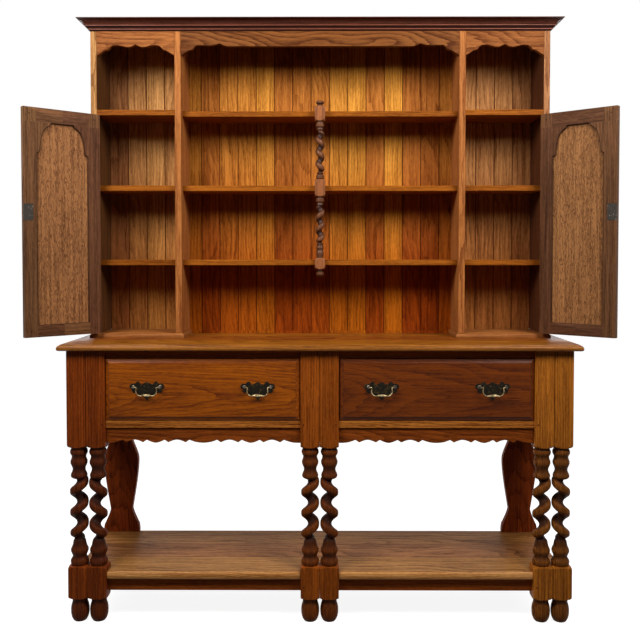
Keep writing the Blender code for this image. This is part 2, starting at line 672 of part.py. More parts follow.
def make_drawers():
    """Make each drawer's fielded front and its box."""
    half = BAY_HALF - DRAWER_GAP
    for side, sign in (("left", -1), ("right", 1)):
        centre = sign * BAY_CENTRE
        slab_back = DRAWER_FRONT_FACE + DRAWER_SLAB
        bm = box_bmesh((centre - half, centre + half), (DRAWER_FRONT_FACE, slab_back),
                       (DRAWER_BOTTOM, DRAWER_TOP))
        bm.faces.ensure_lookup_table()
        face = min(bm.faces, key=lambda f: f.calc_center_median().y)
        bmesh.ops.inset_region(bm, faces=[face], thickness=DRAWER_FIELD_MARGIN, depth=0.0)
        for vertex in face.verts:
            vertex.co.y -= DRAWER_FIELD_RISE * 0.75
        bmesh.ops.inset_region(bm, faces=[face], thickness=DRAWER_FIELD_STEP, depth=0.0)
        for vertex in face.verts:
            vertex.co.y -= DRAWER_FIELD_RISE * 0.25
        add_mesh("drawer_front_" + side, bm, "oak_drawer")
        wall = DRAWER_BOX_WALL
        back = REAR_LEG_FRONT - DRAWER_BACK_ROOM
        top = BOX_BOTTOM + DRAWER_BOX_HEIGHT
        tray = box("drawer_box_" + side, (centre - half, centre + half), (slab_back + SEAT_GAP, back),
                   (BOX_BOTTOM, top), "pale_lining")
        inside = box("drawer_inside_" + side, (centre - half + wall, centre + half - wall),
                     (slab_back - wall, back - wall), (BOX_BOTTOM + DRAWER_BOX_BOTTOM, top + wall))
        boolean(tray, inside)


def plate_outline():
    """Return the outline of a batwing backplate, centred on the line of its posts."""
    right = [(0.0, 0.0140), (0.006, 0.0125), (0.011, 0.0095), (0.017, 0.0105), (0.023, 0.0145),
             (0.029, 0.0160), (0.0345, 0.0135), (0.039, 0.0090), (0.046, 0.0098), (0.053, 0.0070),
             (0.0562, 0.0010), (0.0535, -0.0045), (0.0475, -0.0065), (0.0495, -0.0120),
             (0.0455, -0.0178), (0.0385, -0.0182), (0.033, -0.0165), (0.028, -0.0205),
             (0.0215, -0.0262), (0.0135, -0.0285), (0.0075, -0.0325), (0.0, -0.0410)]
    left = [(-u, v) for u, v in reversed(right[1:-1])]
    return right + left


def bail_path():
    """Return the bail's path from one post to the other, as (x, z, thickness) about the posts."""
    post = POST_SPACING / 2
    drop = BAIL_DROP
    right = [(post - 0.0005, 0.0, 1.0), (post - 0.0078, 0.0, 1.0), (post - 0.0094, -0.0022, 1.0),
             (post - 0.0080, -drop * 0.22, 1.0), (post - 0.0062, -drop * 0.42, 1.05),
             (post - 0.0070, -drop * 0.65, 1.05), (post - 0.0110, -drop * 0.87, 1.0),
             (post - 0.0180, -drop * 0.99, 1.05), (post - 0.0240, -drop * 0.97, 1.15),
             (post - 0.0300, -drop * 0.93, 1.45), (post - 0.0370, -drop * 0.92, BAIL_SWELL)]
    left = [(-u, v, w) for u, v, w in reversed(right)]
    return right + [(0.0, -drop * 0.93, BAIL_SWELL)] + left


def make_bail(name, x, y, z):
    """Make a swan-neck bail whose ends turn out into the posts."""
    curve = bpy.data.curves.new(name, "CURVE")
    curve.dimensions = "3D"
    curve.bevel_depth = BAIL_RADIUS
    curve.bevel_resolution = 1
    curve.use_fill_caps = True
    path = bail_path()
    spline = curve.splines.new("POLY")
    spline.points.add(len(path) - 1)
    for point, (u, v, thickness) in zip(spline.points, path):
        point.co = (u, 0.0, v, 1.0)
        point.radius = thickness
    bail = bpy.data.objects.new(name, curve)
    bail.location = (x, y, z)
    curve.materials.append(MATERIALS["bright_brass"])
    PARTS.objects.link(bail)
    return bail


def make_handle(name, x, z):
    """Make one handle: a backplate with two posts bored for the bail, and the bail itself."""
    face = LEG_FRONT - SEAT_GAP
    plate = flat_outline(name + "_backplate", [plate_outline()], PLATE_THICKNESS, "antique_brass",
                         at=(x, face - PLATE_THICKNESS / 2, z))
    pin_y = face - POST_REACH
    for sign in (-1, 1):
        post_x = x + sign * POST_SPACING / 2
        label = "%s_post_%s" % (name, "left" if sign < 0 else "right")
        stem = cylinder(label, POST_RADIUS, POST_REACH, "X",
                        (post_x, pin_y + POST_REACH / 2 - PLATE_THICKNESS / 2, z))
        boolean(plate, stem, "UNION")
        ball = bmesh.new()
        bmesh.ops.create_uvsphere(ball, u_segments=FINE_STEPS, v_segments=7, radius=POST_BALL)
        bmesh.ops.translate(ball, vec=(post_x, pin_y, z), verts=ball.verts)
        boolean(plate, smooth(add_mesh(label + "_ball", ball, None)), "UNION")
        bore = cylinder(label + "_bore", BAIL_RADIUS + PIN_CLEARANCE, 2 * POST_BALL, "Y",
                        (post_x - sign * (POST_BALL - PIN_CLEARANCE), pin_y, z))
        boolean(plate, bore)
    make_bail(name + "_bail", x, pin_y, z)


def make_handles():
    """Make the four handles, two to a drawer."""
    z = (DRAWER_TOP + DRAWER_BOTTOM) / 2 + HANDLE_RISE
    for side, sign in (("left", -1), ("right", 1)):
        for end, way in (("left", -1), ("right", 1)):
            make_handle("handle_%s_drawer_%s" % (side, end), sign * BAY_CENTRE + way * HANDLE_OFFSET, z)


def make_rack_uprights():
    """Make the rack's two sides and the two posts between its bays."""
    z = (CUPBOARD_FLOOR + SEAT_GAP, CORNICE_BOTTOM - SEAT_GAP)
    for side, sign in (("left", -1), ("right", 1)):
        box("rack_side_" + side, (sign * RACK_INNER, sign * RACK_HALF), (RACK_FRONT, RACK_BACK), z,
            "oak_frame", bevel=0.001)
        post = box("rack_post_" + side, (sign * POST_INNER, sign * POST_OUTER),
                   (RACK_FRONT, BOARDS_FRONT - SEAT_GAP), z, "oak_frame", bevel=0.001)
        middle = RACK_FRONT + DOOR_THICKNESS - LOCK_CASE_DEPTH / 2
        mortise = box("bolt_mortise_" + side,
                      (sign * (POST_OUTER - BOLT_MORTISE_DEPTH), sign * (POST_OUTER + 0.01)),
                      (middle - BOLT_MORTISE_WIDTH / 2, middle + BOLT_MORTISE_WIDTH / 2),
                      (LOCK_Z - BOLT_MORTISE_HEIGHT / 2, LOCK_Z + BOLT_MORTISE_HEIGHT / 2))
        boolean(post, mortise)


def make_cornice():
    """Make the top board with its cornice, which stands up hollow round the front and ends."""
    moulding = [(0.04, 0.0), (0.05, 0.04), (0.12, 0.09), (0.17, 0.10), (0.17, 0.18), (0.20, 0.20),
                (0.25, 0.28), (0.34, 0.365), (0.40, 0.385), (0.40, 0.475), (0.44, 0.50), (0.49, 0.59),
                (0.60, 0.72), (0.77, 0.84), (0.92, 0.91), (1.0, 0.935), (1.0, 1.0)]
    profile = stretch(moulding, CORNICE_PROJECTION, 0.0, CORNICE_HEIGHT)
    cornice = moulded_board("cornice", (-RACK_HALF, RACK_HALF), (RACK_FRONT, RACK_BACK),
                            CORNICE_BOTTOM, profile, "oak_frame")
    half = RACK_HALF - CORNICE_WALL
    hollow = box("cornice_hollow", (-half, half), (RACK_FRONT + CORNICE_WALL, RACK_BACK + CORNICE_WALL),
                 (CORNICE_BOTTOM + CORNICE_FLOOR, OVERALL_HEIGHT + CORNICE_WALL))
    boolean(cornice, hollow)


def valance_outline(left, right, middle):
    """Return a valance's outline: stepped ogee ends, and a dip and peak or a straight between."""
    top = CORNICE_BOTTOM - SEAT_GAP
    low = top - VALANCE_DROP
    end = [(0.0, low), (0.0094, low + 0.0052), (0.0188, low + 0.0117), (0.0270, low + 0.0165),
           (0.0345, low + 0.0186), (0.0385, low + 0.0198), (0.0450, low + 0.0268),
           (0.0516, low + 0.0322), (0.0590, low + 0.0345)]
    bottom = [(left + u, v) for u, v in end] + [(u, low + v) for u, v in middle]
    bottom += [(right - u, v) for u, v in reversed(end)]
    return [(left, top), *bottom, (right, top)]


def make_valances():
    """Make the shaped valances of the two side niches and of the centre bay."""
    middle_y = RACK_FRONT + VALANCE_THICKNESS / 2
    for side, sign in (("left", -1), ("right", 1)):
        ends = sorted((sign * (RACK_INNER - SEAT_GAP), sign * (POST_OUTER + SEAT_GAP)))
        centre = sum(ends) / 2
        crown = [(centre + u, v) for u, v in (
            (-0.0610, 0.0350), (-0.0460, 0.0319), (-0.0320, 0.0288), (-0.0200, 0.0288),
            (-0.0100, 0.0326), (0.0, 0.0375), (0.0100, 0.0326), (0.0200, 0.0288), (0.0320, 0.0288),
            (0.0460, 0.0319), (0.0610, 0.0350))]
        flat_outline("valance_" + side, [valance_outline(*ends, crown)], VALANCE_THICKNESS,
                     "oak_frame", at=(0.0, middle_y, 0.0))
    reach = POST_INNER - SEAT_GAP
    rise = [(0.100, 0.0335), (0.118, 0.0358), (0.130, 0.0395), (0.136, 0.0395), (0.146, 0.0345),
            (0.158, 0.0305)]
    crown = [(-reach + u, v) for u, v in rise] + [(reach - u, v) for u, v in reversed(rise)]
    flat_outline("valance_centre", [valance_outline(-reach, reach, crown)], VALANCE_THICKNESS,
                 "oak_frame", at=(0.0, middle_y, 0.0))


def make_shelves():
    """Make the niche floors, the cupboards' bases and shelves, and the centre shelves."""
    back = BOARDS_FRONT - SEAT_GAP
    levels = {"upper": UPPER_SHELF_TOP, "lower": LOWER_SHELF_TOP}
    shelf_front = RACK_FRONT + DOOR_THICKNESS + DOOR_STOP_GAP
    for side, sign in (("left", -1), ("right", 1)):
        x = (sign * (POST_OUTER + SEAT_GAP), sign * (RACK_INNER - SEAT_GAP))
        box("niche_floor_" + side, x, (RACK_FRONT, back), (NICHE_FLOOR_UNDER, NICHE_FLOOR_TOP),
            "oak_frame", bevel=0.001)
        for level, top in levels.items():
            box("cupboard_shelf_%s_%s" % (side, level), x, (shelf_front, back),
                (top - SHELF_THICKNESS, top), "oak_frame", bevel=0.001)
        t = CUPBOARD_BASE_THICKNESS
        lip = CUPBOARD_BASE_LIP
        profile = [(0.0, 0.0), (0.0, t * 0.45), (-lip * 0.3, t * 0.75), (-lip * 0.85, t)]
        ends = sorted((sign * (RACK_HALF + lip), sign * (POST_INNER - lip)))
        moulded_board("cupboard_base_" + side, ends, (RACK_FRONT - lip, back),
                      WORKTOP_TOP + SEAT_GAP, profile, "oak_frame")
    reach = POST_INNER - SEAT_GAP
    for level, top in (("upper", NICHE_FLOOR_TOP), ("middle", UPPER_SHELF_TOP), ("lower", LOWER_SHELF_TOP)):
        box("centre_shelf_" + level, (-reach, reach), (RACK_FRONT + CENTRE_SHELF_RECESS, back),
            (top - SHELF_THICKNESS, top), "oak_frame", bevel=0.001)


def make_back_boards():
    """Make the back of upright matched boards, V-jointed on the face, with its foot rail."""
    reach = RACK_INNER - SEAT_GAP
    pitch = 2 * reach / BACK_BOARD_COUNT
    face = [(-reach, BOARDS_FRONT)]
    for joint in range(1, BACK_BOARD_COUNT):
        x = -reach + joint * pitch
        face += [(x - BOARD_GROOVE / 2, BOARDS_FRONT), (x, BOARDS_FRONT + BOARD_GROOVE),
                 (x + BOARD_GROOVE / 2, BOARDS_FRONT)]
    face += [(reach, BOARDS_FRONT), (reach, BOARDS_BACK), (-reach, BOARDS_BACK)]
    bottom = WORKTOP_TOP + SEAT_GAP
    top = CORNICE_BOTTOM - SEAT_GAP
    boards = flat_outline("back_boards", [face], top - bottom, "oak_board", axis="Z",
                          at=(0.0, 0.0, (top + bottom) / 2))
    clear = POST_INNER - CUPBOARD_BASE_LIP - SEAT_GAP
    rail = box("foot_rail", (-clear, clear),
               (BOARDS_FRONT - FOOT_RAIL_DEPTH, BOARDS_FRONT + 2 * BOARD_GROOVE),
               (bottom, bottom + FOOT_RAIL_HEIGHT))
    boolean(boards, rail, "UNION")


def make_spindle():
    """Make the twisted spindle, housed over the front edges of the centre shelves."""
    half = SPINDLE_WIDTH / 2
    y = RACK_FRONT + half
    shelf_half = SHELF_THICKNESS / 2
    seats = [top - shelf_half for top in (NICHE_FLOOR_TOP, UPPER_SHELF_TOP, LOWER_SHELF_TOP)]
    high, middle, low = seats
    core = SPINDLE_CORE
    profile = [
        (0.0, high + 0.0435), (0.0110, high + 0.0420), (0.0143, high + 0.0370), (0.0130, high + 0.0330),
        (0.0095, high + 0.0300), (0.0125, high + 0.0230), (0.0125, high - 0.0330),
        (0.0145, high - 0.0360), (0.0145, high - 0.0470), (0.0110, high - 0.0510),
        (0.0120, high - 0.0570), (core, high - 0.0640), (core, middle + 0.0590), (0.0115, middle + 0.0520),
        (0.0100, middle + 0.0460), (0.0135, middle + 0.0430), (0.0135, middle + 0.0330),
        (0.0120, middle + 0.0280), (0.0120, middle - 0.0350), (0.0142, middle - 0.0380),
        (0.0142, middle - 0.0470), (0.0105, middle - 0.0520), (0.0120, middle - 0.0580),
        (core, middle - 0.0650), (core, low + 0.0720), (0.0120, low + 0.0650), (0.0105, low + 0.0600),
        (0.0135, low + 0.0520), (0.0115, low + 0.0440), (0.0135, low + 0.0340), (0.0120, low + 0.0140),
        (0.0120, low - 0.0270), (0.0100, low - 0.0320), (0.0140, low - 0.0370), (0.0125, low - 0.0450),
        (0.0070, low - 0.0500), (0.0, low - 0.0510),
    ]
    spindle = turning("spindle", profile, 0.0, y, "oak_turned", SPINDLE_STEPS)
    x = (-half, half)
    depth = (RACK_FRONT, RACK_FRONT + SPINDLE_WIDTH)
    chamfer = SPINDLE_CHAMFER
    blocks = (("top", high + 0.0245, high - 0.0290), ("middle", middle + 0.0300, middle - 0.0310),
              ("bottom", low + 0.0160, low - 0.0240))
    for place, upper, lower in blocks:
        boolean(spindle, chamfered_block("spindle_block_" + place, x, depth, (lower, upper), chamfer, chamfer),
                "UNION")
    stretches = (("upper", middle + 0.0500, high - 0.0550, -1), ("lower", low + 0.0630, middle - 0.0560, 1))
    for place, bottom, top, hand in stretches:
        strand = twist("spindle_strand_" + place, 0.0, y, bottom, top, SPINDLE_CREST, SPINDLE_VALLEY,
                       SPINDLE_PITCH, hand, (bottom + top) / 2, SPINDLE_STEPS)
        boolean(spindle, strand, "UNION")
    for place, seat in zip(("high", "middle", "low"), seats):
        notch = box("spindle_notch_" + place, (-SPINDLE_WIDTH, SPINDLE_WIDTH),
                    (RACK_FRONT + CENTRE_SHELF_RECESS - SEAT_GAP, RACK_FRONT + 2 * SPINDLE_WIDTH),
                    (seat - shelf_half - SEAT_GAP, seat + shelf_half + SEAT_GAP))
        boolean(spindle, notch)


def door_opening(sign, inset=0.0):
    """Return the arched outline of a door's opening, in the door's own frame, drawn in by inset."""
    edge = HINGE_EDGE_GAP / 2
    left = edge + DOOR_STILE + inset
    right = edge + DOOR_WIDTH - DOOR_STILE - inset
    centre = (left + right) / 2
    bottom = DOOR_BOTTOM + DOOR_BOTTOM_RAIL + inset
    top = DOOR_TOP - DOOR_TOP_RAIL - inset
    half = (right - left) / 2
    flat = HEAD_FLAT - inset * 0.4
    head = [(flat, 0.0), (flat + 0.0035, -0.0030), (flat + 0.0055, -0.0080), (flat + 0.0120, -0.0120),
            (half - 0.0320, -0.0190), (half - 0.0255, -0.0270), (half - 0.0205, -0.0370),
            (half - 0.0165, -0.0500), (half - 0.0140, -0.0640), (half - 0.0120, -0.0800),
            (half - 0.0105, -0.0930), (half - 0.0070, -0.0985), (half, -HEAD_DROP)]
    right_side = [(centre + u, top + v) for u, v in head] + [(right, bottom)]
    left_side = [(2 * centre - u, v) for u, v in reversed(right_side)]
    return [(sign * u, v) for u, v in right_side + left_side]


def door_box(name, sign, x, y, z, finish=None):
    """Make a box in a door's own frame, with x measured from the hinge line into the cupboard."""
    return box(name, (sign * x[0], sign * x[1]), y, z, finish)


def upright_cylinder(name, radius, z):
    """Make an upright cylinder about the origin between two heights."""
    return cylinder(name, radius, z[1] - z[0], "Z", (0.0, 0.0, (z[0] + z[1]) / 2))


def carry_cutters(holder, prefix):
    """Parent the free cutters whose names start with prefix to what they were drawn about."""
    for cutter in CUTTERS.objects:
        if cutter.name.startswith(prefix) and cutter.parent is None:
            cutter.parent = holder


def knuckle_spans(height):
    """Return the heights of a hinge's whole barrel and of its middle knuckle."""
    half = HINGE_HEIGHT / 2
    third = HINGE_HEIGHT / 6
    return (height - half, height + half), (height - third, height + third)


def hang_door_leaf(frame, name, sign, height):
    """Join a hinge's moving leaf and bored middle knuckle to a door frame."""
    whole, middle = knuckle_spans(height)
    middle = (middle[0] + SEAT_GAP, middle[1] - SEAT_GAP)
    outer = HINGE_EDGE_GAP / 2
    inner = outer - HINGE_LEAF
    front = PIVOT_STANDOFF + 0.0004
    leaf = door_box(name + "_leaf", sign, (inner, outer + 0.001), (front, front + HINGE_LEAF_WIDTH), whole)
    arm = door_box(name + "_arm", sign, (inner, outer + 0.001), (0.0, front + 0.001), middle)
    boolean(frame, leaf, "UNION")
    boolean(frame, arm, "UNION")
    boolean(frame, upright_cylinder(name + "_knuckle", KNUCKLE_RADIUS, middle), "UNION")
    bore = (middle[0] - 0.001, middle[1] + 0.001)
    boolean(frame, upright_cylinder(name + "_bore", HINGE_PIN_RADIUS + PIN_CLEARANCE, bore))


def make_case_hinge(name, sign, height):
    """Make a hinge's fixed leaf with its two knuckles and the pin, at a height on the rack side."""
    whole, middle = knuckle_spans(height)
    outer = -HINGE_EDGE_GAP / 2 + SEAT_GAP
    inner = outer + HINGE_LEAF
    front = PIVOT_STANDOFF + 0.0004
    leaf = door_box(name, sign, (outer, inner), (front, front + HINGE_LEAF_WIDTH), whole, "antique_brass")
    boolean(leaf, upright_cylinder(name + "_pin", HINGE_PIN_RADIUS, whole), "UNION")
    for place, span in (("lower", (whole[0], middle[0])), ("upper", (middle[1], whole[1]))):
        arm = door_box("%s_arm_%s" % (name, place), sign, (outer, inner), (0.0, front + 0.001), span)
        boolean(leaf, arm, "UNION")
        boolean(leaf, upright_cylinder("%s_knuckle_%s" % (name, place), KNUCKLE_RADIUS, span), "UNION")
    carry_cutters(leaf, name + "_")
    leaf.location = (-sign * PIVOT_X, PIVOT_Y, 0.0)
    return leaf


def cut_lock_mortise(frame, name, sign, inside):
    """Cut the lock's mortise and the keyhole in a door's free stile."""
    edge = HINGE_EDGE_GAP / 2 + DOOR_WIDTH
    half = LOCK_HEIGHT / 2 + SEAT_GAP
    z = (LOCK_Z - half, LOCK_Z + half)
    plate = (inside - LOCK_PLATE - SEAT_GAP, inside + 0.01)
    boolean(frame, door_box(name + "_plate_recess", sign, (edge - LOCK_WIDTH - SEAT_GAP, edge + 0.01),
                            plate, z))
    margin = LOCK_CASE_MARGIN - SEAT_GAP
    case_x = (edge - LOCK_WIDTH + margin, edge + 0.01)
    boolean(frame, door_box(name + "_case_recess", sign, case_x,
                            (inside - LOCK_CASE_DEPTH - SEAT_GAP, inside), (z[0] + margin, z[1] - margin)))
    keyhole = cylinder(name + "_keyhole", KEYHOLE_RADIUS, 2 * DOOR_THICKNESS, "X",
                       (sign * (edge - LOCK_WIDTH / 2), 0.0, LOCK_Z))
    boolean(frame, keyhole)


def make_lock(name, sign, inside):
    """Make a cut cupboard lock: a plate let in flush, and the case behind it."""
    edge = HINGE_EDGE_GAP / 2 + DOOR_WIDTH
    half = LOCK_HEIGHT / 2
    lock = door_box(name, sign, (edge - LOCK_WIDTH, edge), (inside - LOCK_PLATE, inside + LOCK_PROUD),
                    (LOCK_Z - half, LOCK_Z + half), "dark_steel")
    case = door_box(name + "_case", sign, (edge - LOCK_WIDTH + LOCK_CASE_MARGIN, edge),
                    (inside - LOCK_CASE_DEPTH, inside - LOCK_PLATE / 2),
                    (LOCK_Z - half + LOCK_CASE_MARGIN, LOCK_Z + half - LOCK_CASE_MARGIN))
    return boolean(lock, case, "UNION")


def make_door(side, sign):
    """Make one door, hung open on its pivot as in the photograph.

    sign is 1 for the left door, whose closed leaf runs to +X from its pivot, and -1 for the right.
    """
    pivot = bpy.data.objects.new("door_%s_pivot" % side, None)
    PARTS.objects.link(pivot)
    edge = HINGE_EDGE_GAP / 2
    front = PIVOT_STANDOFF
    inside = front + DOOR_THICKNESS
    name = "door_%s_" % side
    outer = [(sign * u, v) for u, v in ((edge, DOOR_BOTTOM), (edge + DOOR_WIDTH, DOOR_BOTTOM),
                                        (edge + DOOR_WIDTH, DOOR_TOP), (edge, DOOR_TOP))]
    frame = flat_outline(name + "frame", [outer, door_opening(sign)], DOOR_THICKNESS, "oak_door",
                         at=(0.0, (front + inside) / 2, 0.0))
    tongue = DOOR_STILE - DOOR_PANEL_TONGUE
    x = (edge + tongue, edge + DOOR_WIDTH - tongue)
    z = (DOOR_BOTTOM + DOOR_BOTTOM_RAIL - DOOR_PANEL_TONGUE, DOOR_TOP - DOOR_TOP_RAIL + DOOR_PANEL_TONGUE)
    middle = (front + inside) / 2
    half = DOOR_PANEL_THICKNESS / 2
    grow = SEAT_GAP
    groove = door_box(name + "groove", sign, (x[0] - grow, x[1] + grow),
                      (middle - half - grow, middle + half + grow), (z[0] - grow, z[1] + grow))
    boolean(frame, groove)
    panel = door_box(name + "panel", sign, x, (middle - half, middle + half), z, "oak_panel")
    field = flat_outline(name + "field", [door_opening(sign, 0.014)], 2 * DOOR_FIELD_RISE,
                         at=(0.0, middle - half, 0.0))
    boolean(panel, field, "UNION")
    for place, height in (("lower", DOOR_BOTTOM + HINGE_INSET), ("upper", DOOR_TOP - HINGE_INSET)):
        hang_door_leaf(frame, name + "hinge_" + place, sign, height)
        make_case_hinge("hinge_%s_%s" % (side, place), sign, height)
    cut_lock_mortise(frame, name, sign, inside)
    lock = make_lock(name + "lock", sign, inside)
    for piece in (frame, panel, lock):
        piece.parent = pivot
    carry_cutters(pivot, name)
    pivot.location = (-sign * PIVOT_X, PIVOT_Y, 0.0)
    pivot.rotation_euler = (0.0, 0.0, -sign * DOOR_OPEN_ANGLE)


def build():
    """Build the whole dresser."""
    make_worktop()
    make_front_legs()
    make_rear_legs()
    make_rails()
    make_pot_board()
    make_base_carcass()
    make_drawers()
    make_handles()
    make_rack_uprights()
    make_cornice()
    make_valances()
    make_shelves()
    make_back_boards()
    make_spindle()
    make_door("left", 1)
    make_door("right", -1)


build()
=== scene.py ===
"""The looks of an oak kitchen dresser: its stained boards, turned legs, brass handles and studio.

Sizes are in metres, with +Z up and the dresser's front towards -Y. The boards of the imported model
stay where they are and get an oak of their own each, cut and laid as a joiner would. What a lathe,
a saw or a moulding plane shaped is built again here, finer, in the same place.
"""

import json
import logging
import math
from collections.abc import Callable, Sequence
from dataclasses import dataclass, replace
from enum import Enum
from functools import cache

import bmesh
import bpy
from mathutils import Matrix, Vector

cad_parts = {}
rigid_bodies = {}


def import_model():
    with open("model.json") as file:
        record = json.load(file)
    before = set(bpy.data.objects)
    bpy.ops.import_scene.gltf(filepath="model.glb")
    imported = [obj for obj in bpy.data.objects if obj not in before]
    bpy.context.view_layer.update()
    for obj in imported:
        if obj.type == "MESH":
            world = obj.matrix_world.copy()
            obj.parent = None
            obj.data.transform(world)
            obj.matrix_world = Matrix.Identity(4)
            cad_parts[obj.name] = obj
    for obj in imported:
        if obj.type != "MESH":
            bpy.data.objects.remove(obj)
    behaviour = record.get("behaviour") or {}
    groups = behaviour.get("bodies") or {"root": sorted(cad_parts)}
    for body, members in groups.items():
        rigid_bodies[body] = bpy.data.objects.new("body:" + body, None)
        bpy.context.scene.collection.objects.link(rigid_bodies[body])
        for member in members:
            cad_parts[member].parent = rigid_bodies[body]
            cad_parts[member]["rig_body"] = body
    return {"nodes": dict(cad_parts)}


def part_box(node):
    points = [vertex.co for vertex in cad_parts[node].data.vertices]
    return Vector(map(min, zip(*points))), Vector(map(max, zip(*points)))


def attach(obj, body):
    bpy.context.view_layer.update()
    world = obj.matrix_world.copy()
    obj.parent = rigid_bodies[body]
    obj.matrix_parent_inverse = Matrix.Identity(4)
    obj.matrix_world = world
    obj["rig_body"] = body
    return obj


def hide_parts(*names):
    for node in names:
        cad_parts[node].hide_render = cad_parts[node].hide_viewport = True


LOG = logging.getLogger("kitchen_dresser")
FRONT = Vector((0.0, -1.0, 0.0))
SIDES = ("left", "right")
WHITE = (1.0, 1.0, 1.0, 1.0)

Point = tuple[float, float]
Triple = tuple[float, float, float]
Colour = tuple[float, float, float, float]
Stain = tuple[Colour, Colour]
Mesh = bmesh.types.BMesh
Corner = bmesh.types.BMVert
Socket = bpy.types.NodeSocket
Stained = tuple[Socket | Colour, Socket | Colour]
Laid = tuple[Socket, Socket, Socket, Socket | None]


def clear_default_scene() -> None:
    """Remove the objects that a new Blender file starts with."""
    for leftover in list(bpy.data.objects):
        bpy.data.objects.remove(leftover, do_unlink=True)


clear_default_scene()
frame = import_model()
NODES = frame["nodes"]


def middle_of(node: str) -> Vector:
    """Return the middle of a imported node's box."""
    low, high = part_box(node)
    return (low + high) / 2


def body_of(node: str) -> str:
    """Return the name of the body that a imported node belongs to."""
    return NODES[node]["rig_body"]


def colour_of(red: int, green: int, blue: int) -> Colour:
    """Return a shader colour.

    Args:
        red: The red a screen shows, from 0 to 255.
        green: The green a screen shows.
        blue: The blue a screen shows.

    Returns:
        The same colour as linear light, with full opacity.
    """
    shares = [value / 255 for value in (red, green, blue)]
    light = [s / 12.92 if s <= 0.04045 else ((s + 0.055) / 1.055) ** 2.4 for s in shares]
    return (light[0], light[1], light[2], 1.0)


def stain(pale: tuple[int, int, int], deep: tuple[int, int, int]) -> Stain:
    """Return an oak stain from its screen colours on the late wood and on the early wood."""
    return colour_of(*pale), colour_of(*deep)


# Stains, as the lit faces of the real boards show them
# Painted shade: the dark stain of the rack sides' inner faces
WALL = stain((98, 58, 32), (62, 34, 17))
TOP = stain((161, 93, 27), (96, 46, 10))
POT = stain((176, 118, 64), (96, 54, 22))
# Painted light: the paler stain that front faces and outward ends take
FRONT_LIT = stain((232, 162, 98), (160, 92, 42))
# Painted light: the pale stain of the rack sides' front edges
SIDE = stain((187, 132, 82), (122, 74, 40))
POST = stain((186, 117, 60), (122, 65, 28))
VALANCE = stain((162, 97, 46), (102, 52, 19))
SHELF = stain((170, 96, 26), (106, 51, 8))
BOARD = stain((206, 134, 56), (126, 68, 20))
RUDDY_BOARD = stain((176, 84, 17), (104, 42, 6))
INNER = stain((210, 150, 92), (128, 78, 40))
INNER_LOW = stain((196, 122, 60), (116, 64, 28))
BASE = stain((154, 76, 24), (86, 36, 9))
RAIL = stain((214, 130, 52), (98, 40, 8))
DRAWER = stain((172, 88, 9), (104, 43, 4))
RUDDY_DRAWER = stain((134, 62, 9), (82, 31, 3))
DARK = stain((160, 71, 26), (84, 31, 9))
CORNICE = stain((112, 58, 40), (60, 29, 20))
DOOR = stain((134, 89, 57), (72, 44, 28))
PANEL = stain((184, 124, 77), (100, 60, 35))
LINING = stain((206, 172, 122), (164, 126, 82))
SPINDLE = stain((166, 100, 56), (98, 52, 28))
LEGS = {"left": stain((152, 70, 20), (84, 31, 7)), "centre": stain((171, 87, 23), (96, 41, 8)),
        "right": stain((198, 118, 38), (112, 58, 16))}
# The darker tone of turned parts, and painted shade in their twists' valleys
TONE_AND_VALLEY_SHADE_COLOUR = colour_of(42, 22, 16)
# Painted highlight for the bright lines on the cornice's flat steps
HIGHLIGHT_COLOUR = colour_of(196, 116, 88)
# Painted shade for the dark bands in the cornice's coves
GROOVE_SHADE_COLOUR = colour_of(44, 17, 9)
PORE_COLOUR = (0.30, 0.24, 0.22, 1.0)

# Noises that are drawn out along the grain: stretch, fineness and detail, and the weight in the stain
GRAIN_NOISES = {
    "streaks": ((0.035, 120.0, 3.0), 1.35),
    "fibre": ((0.03, 420.0, 2.0), 1.05),
    "mottle": ((0.22, 260.0, 2.0), 0.80),
    "cloud": ((0.4, 9.0, 2.0), 0.60),
}
PORE_NOISE = (0.045, 900.0, 1.0)
# Ray flecks, pale and then deep: stretch and fineness, and how much of the face's colour they take
RAY_FLECKS = ((0.16, 380.0, 0.70), (0.30, 300.0, 0.85))
# The Mix node's two inputs, by number, where it mixes vectors and where it mixes colours
MIXED_VECTORS = (4, 5)
MIXED_COLOURS = (6, 7)
# How many sides the small round things have
PEG_SIDES = 8
BEAD_SIDES = 10
WIRE_SIDES = 14
KNOB_SIDES = 24


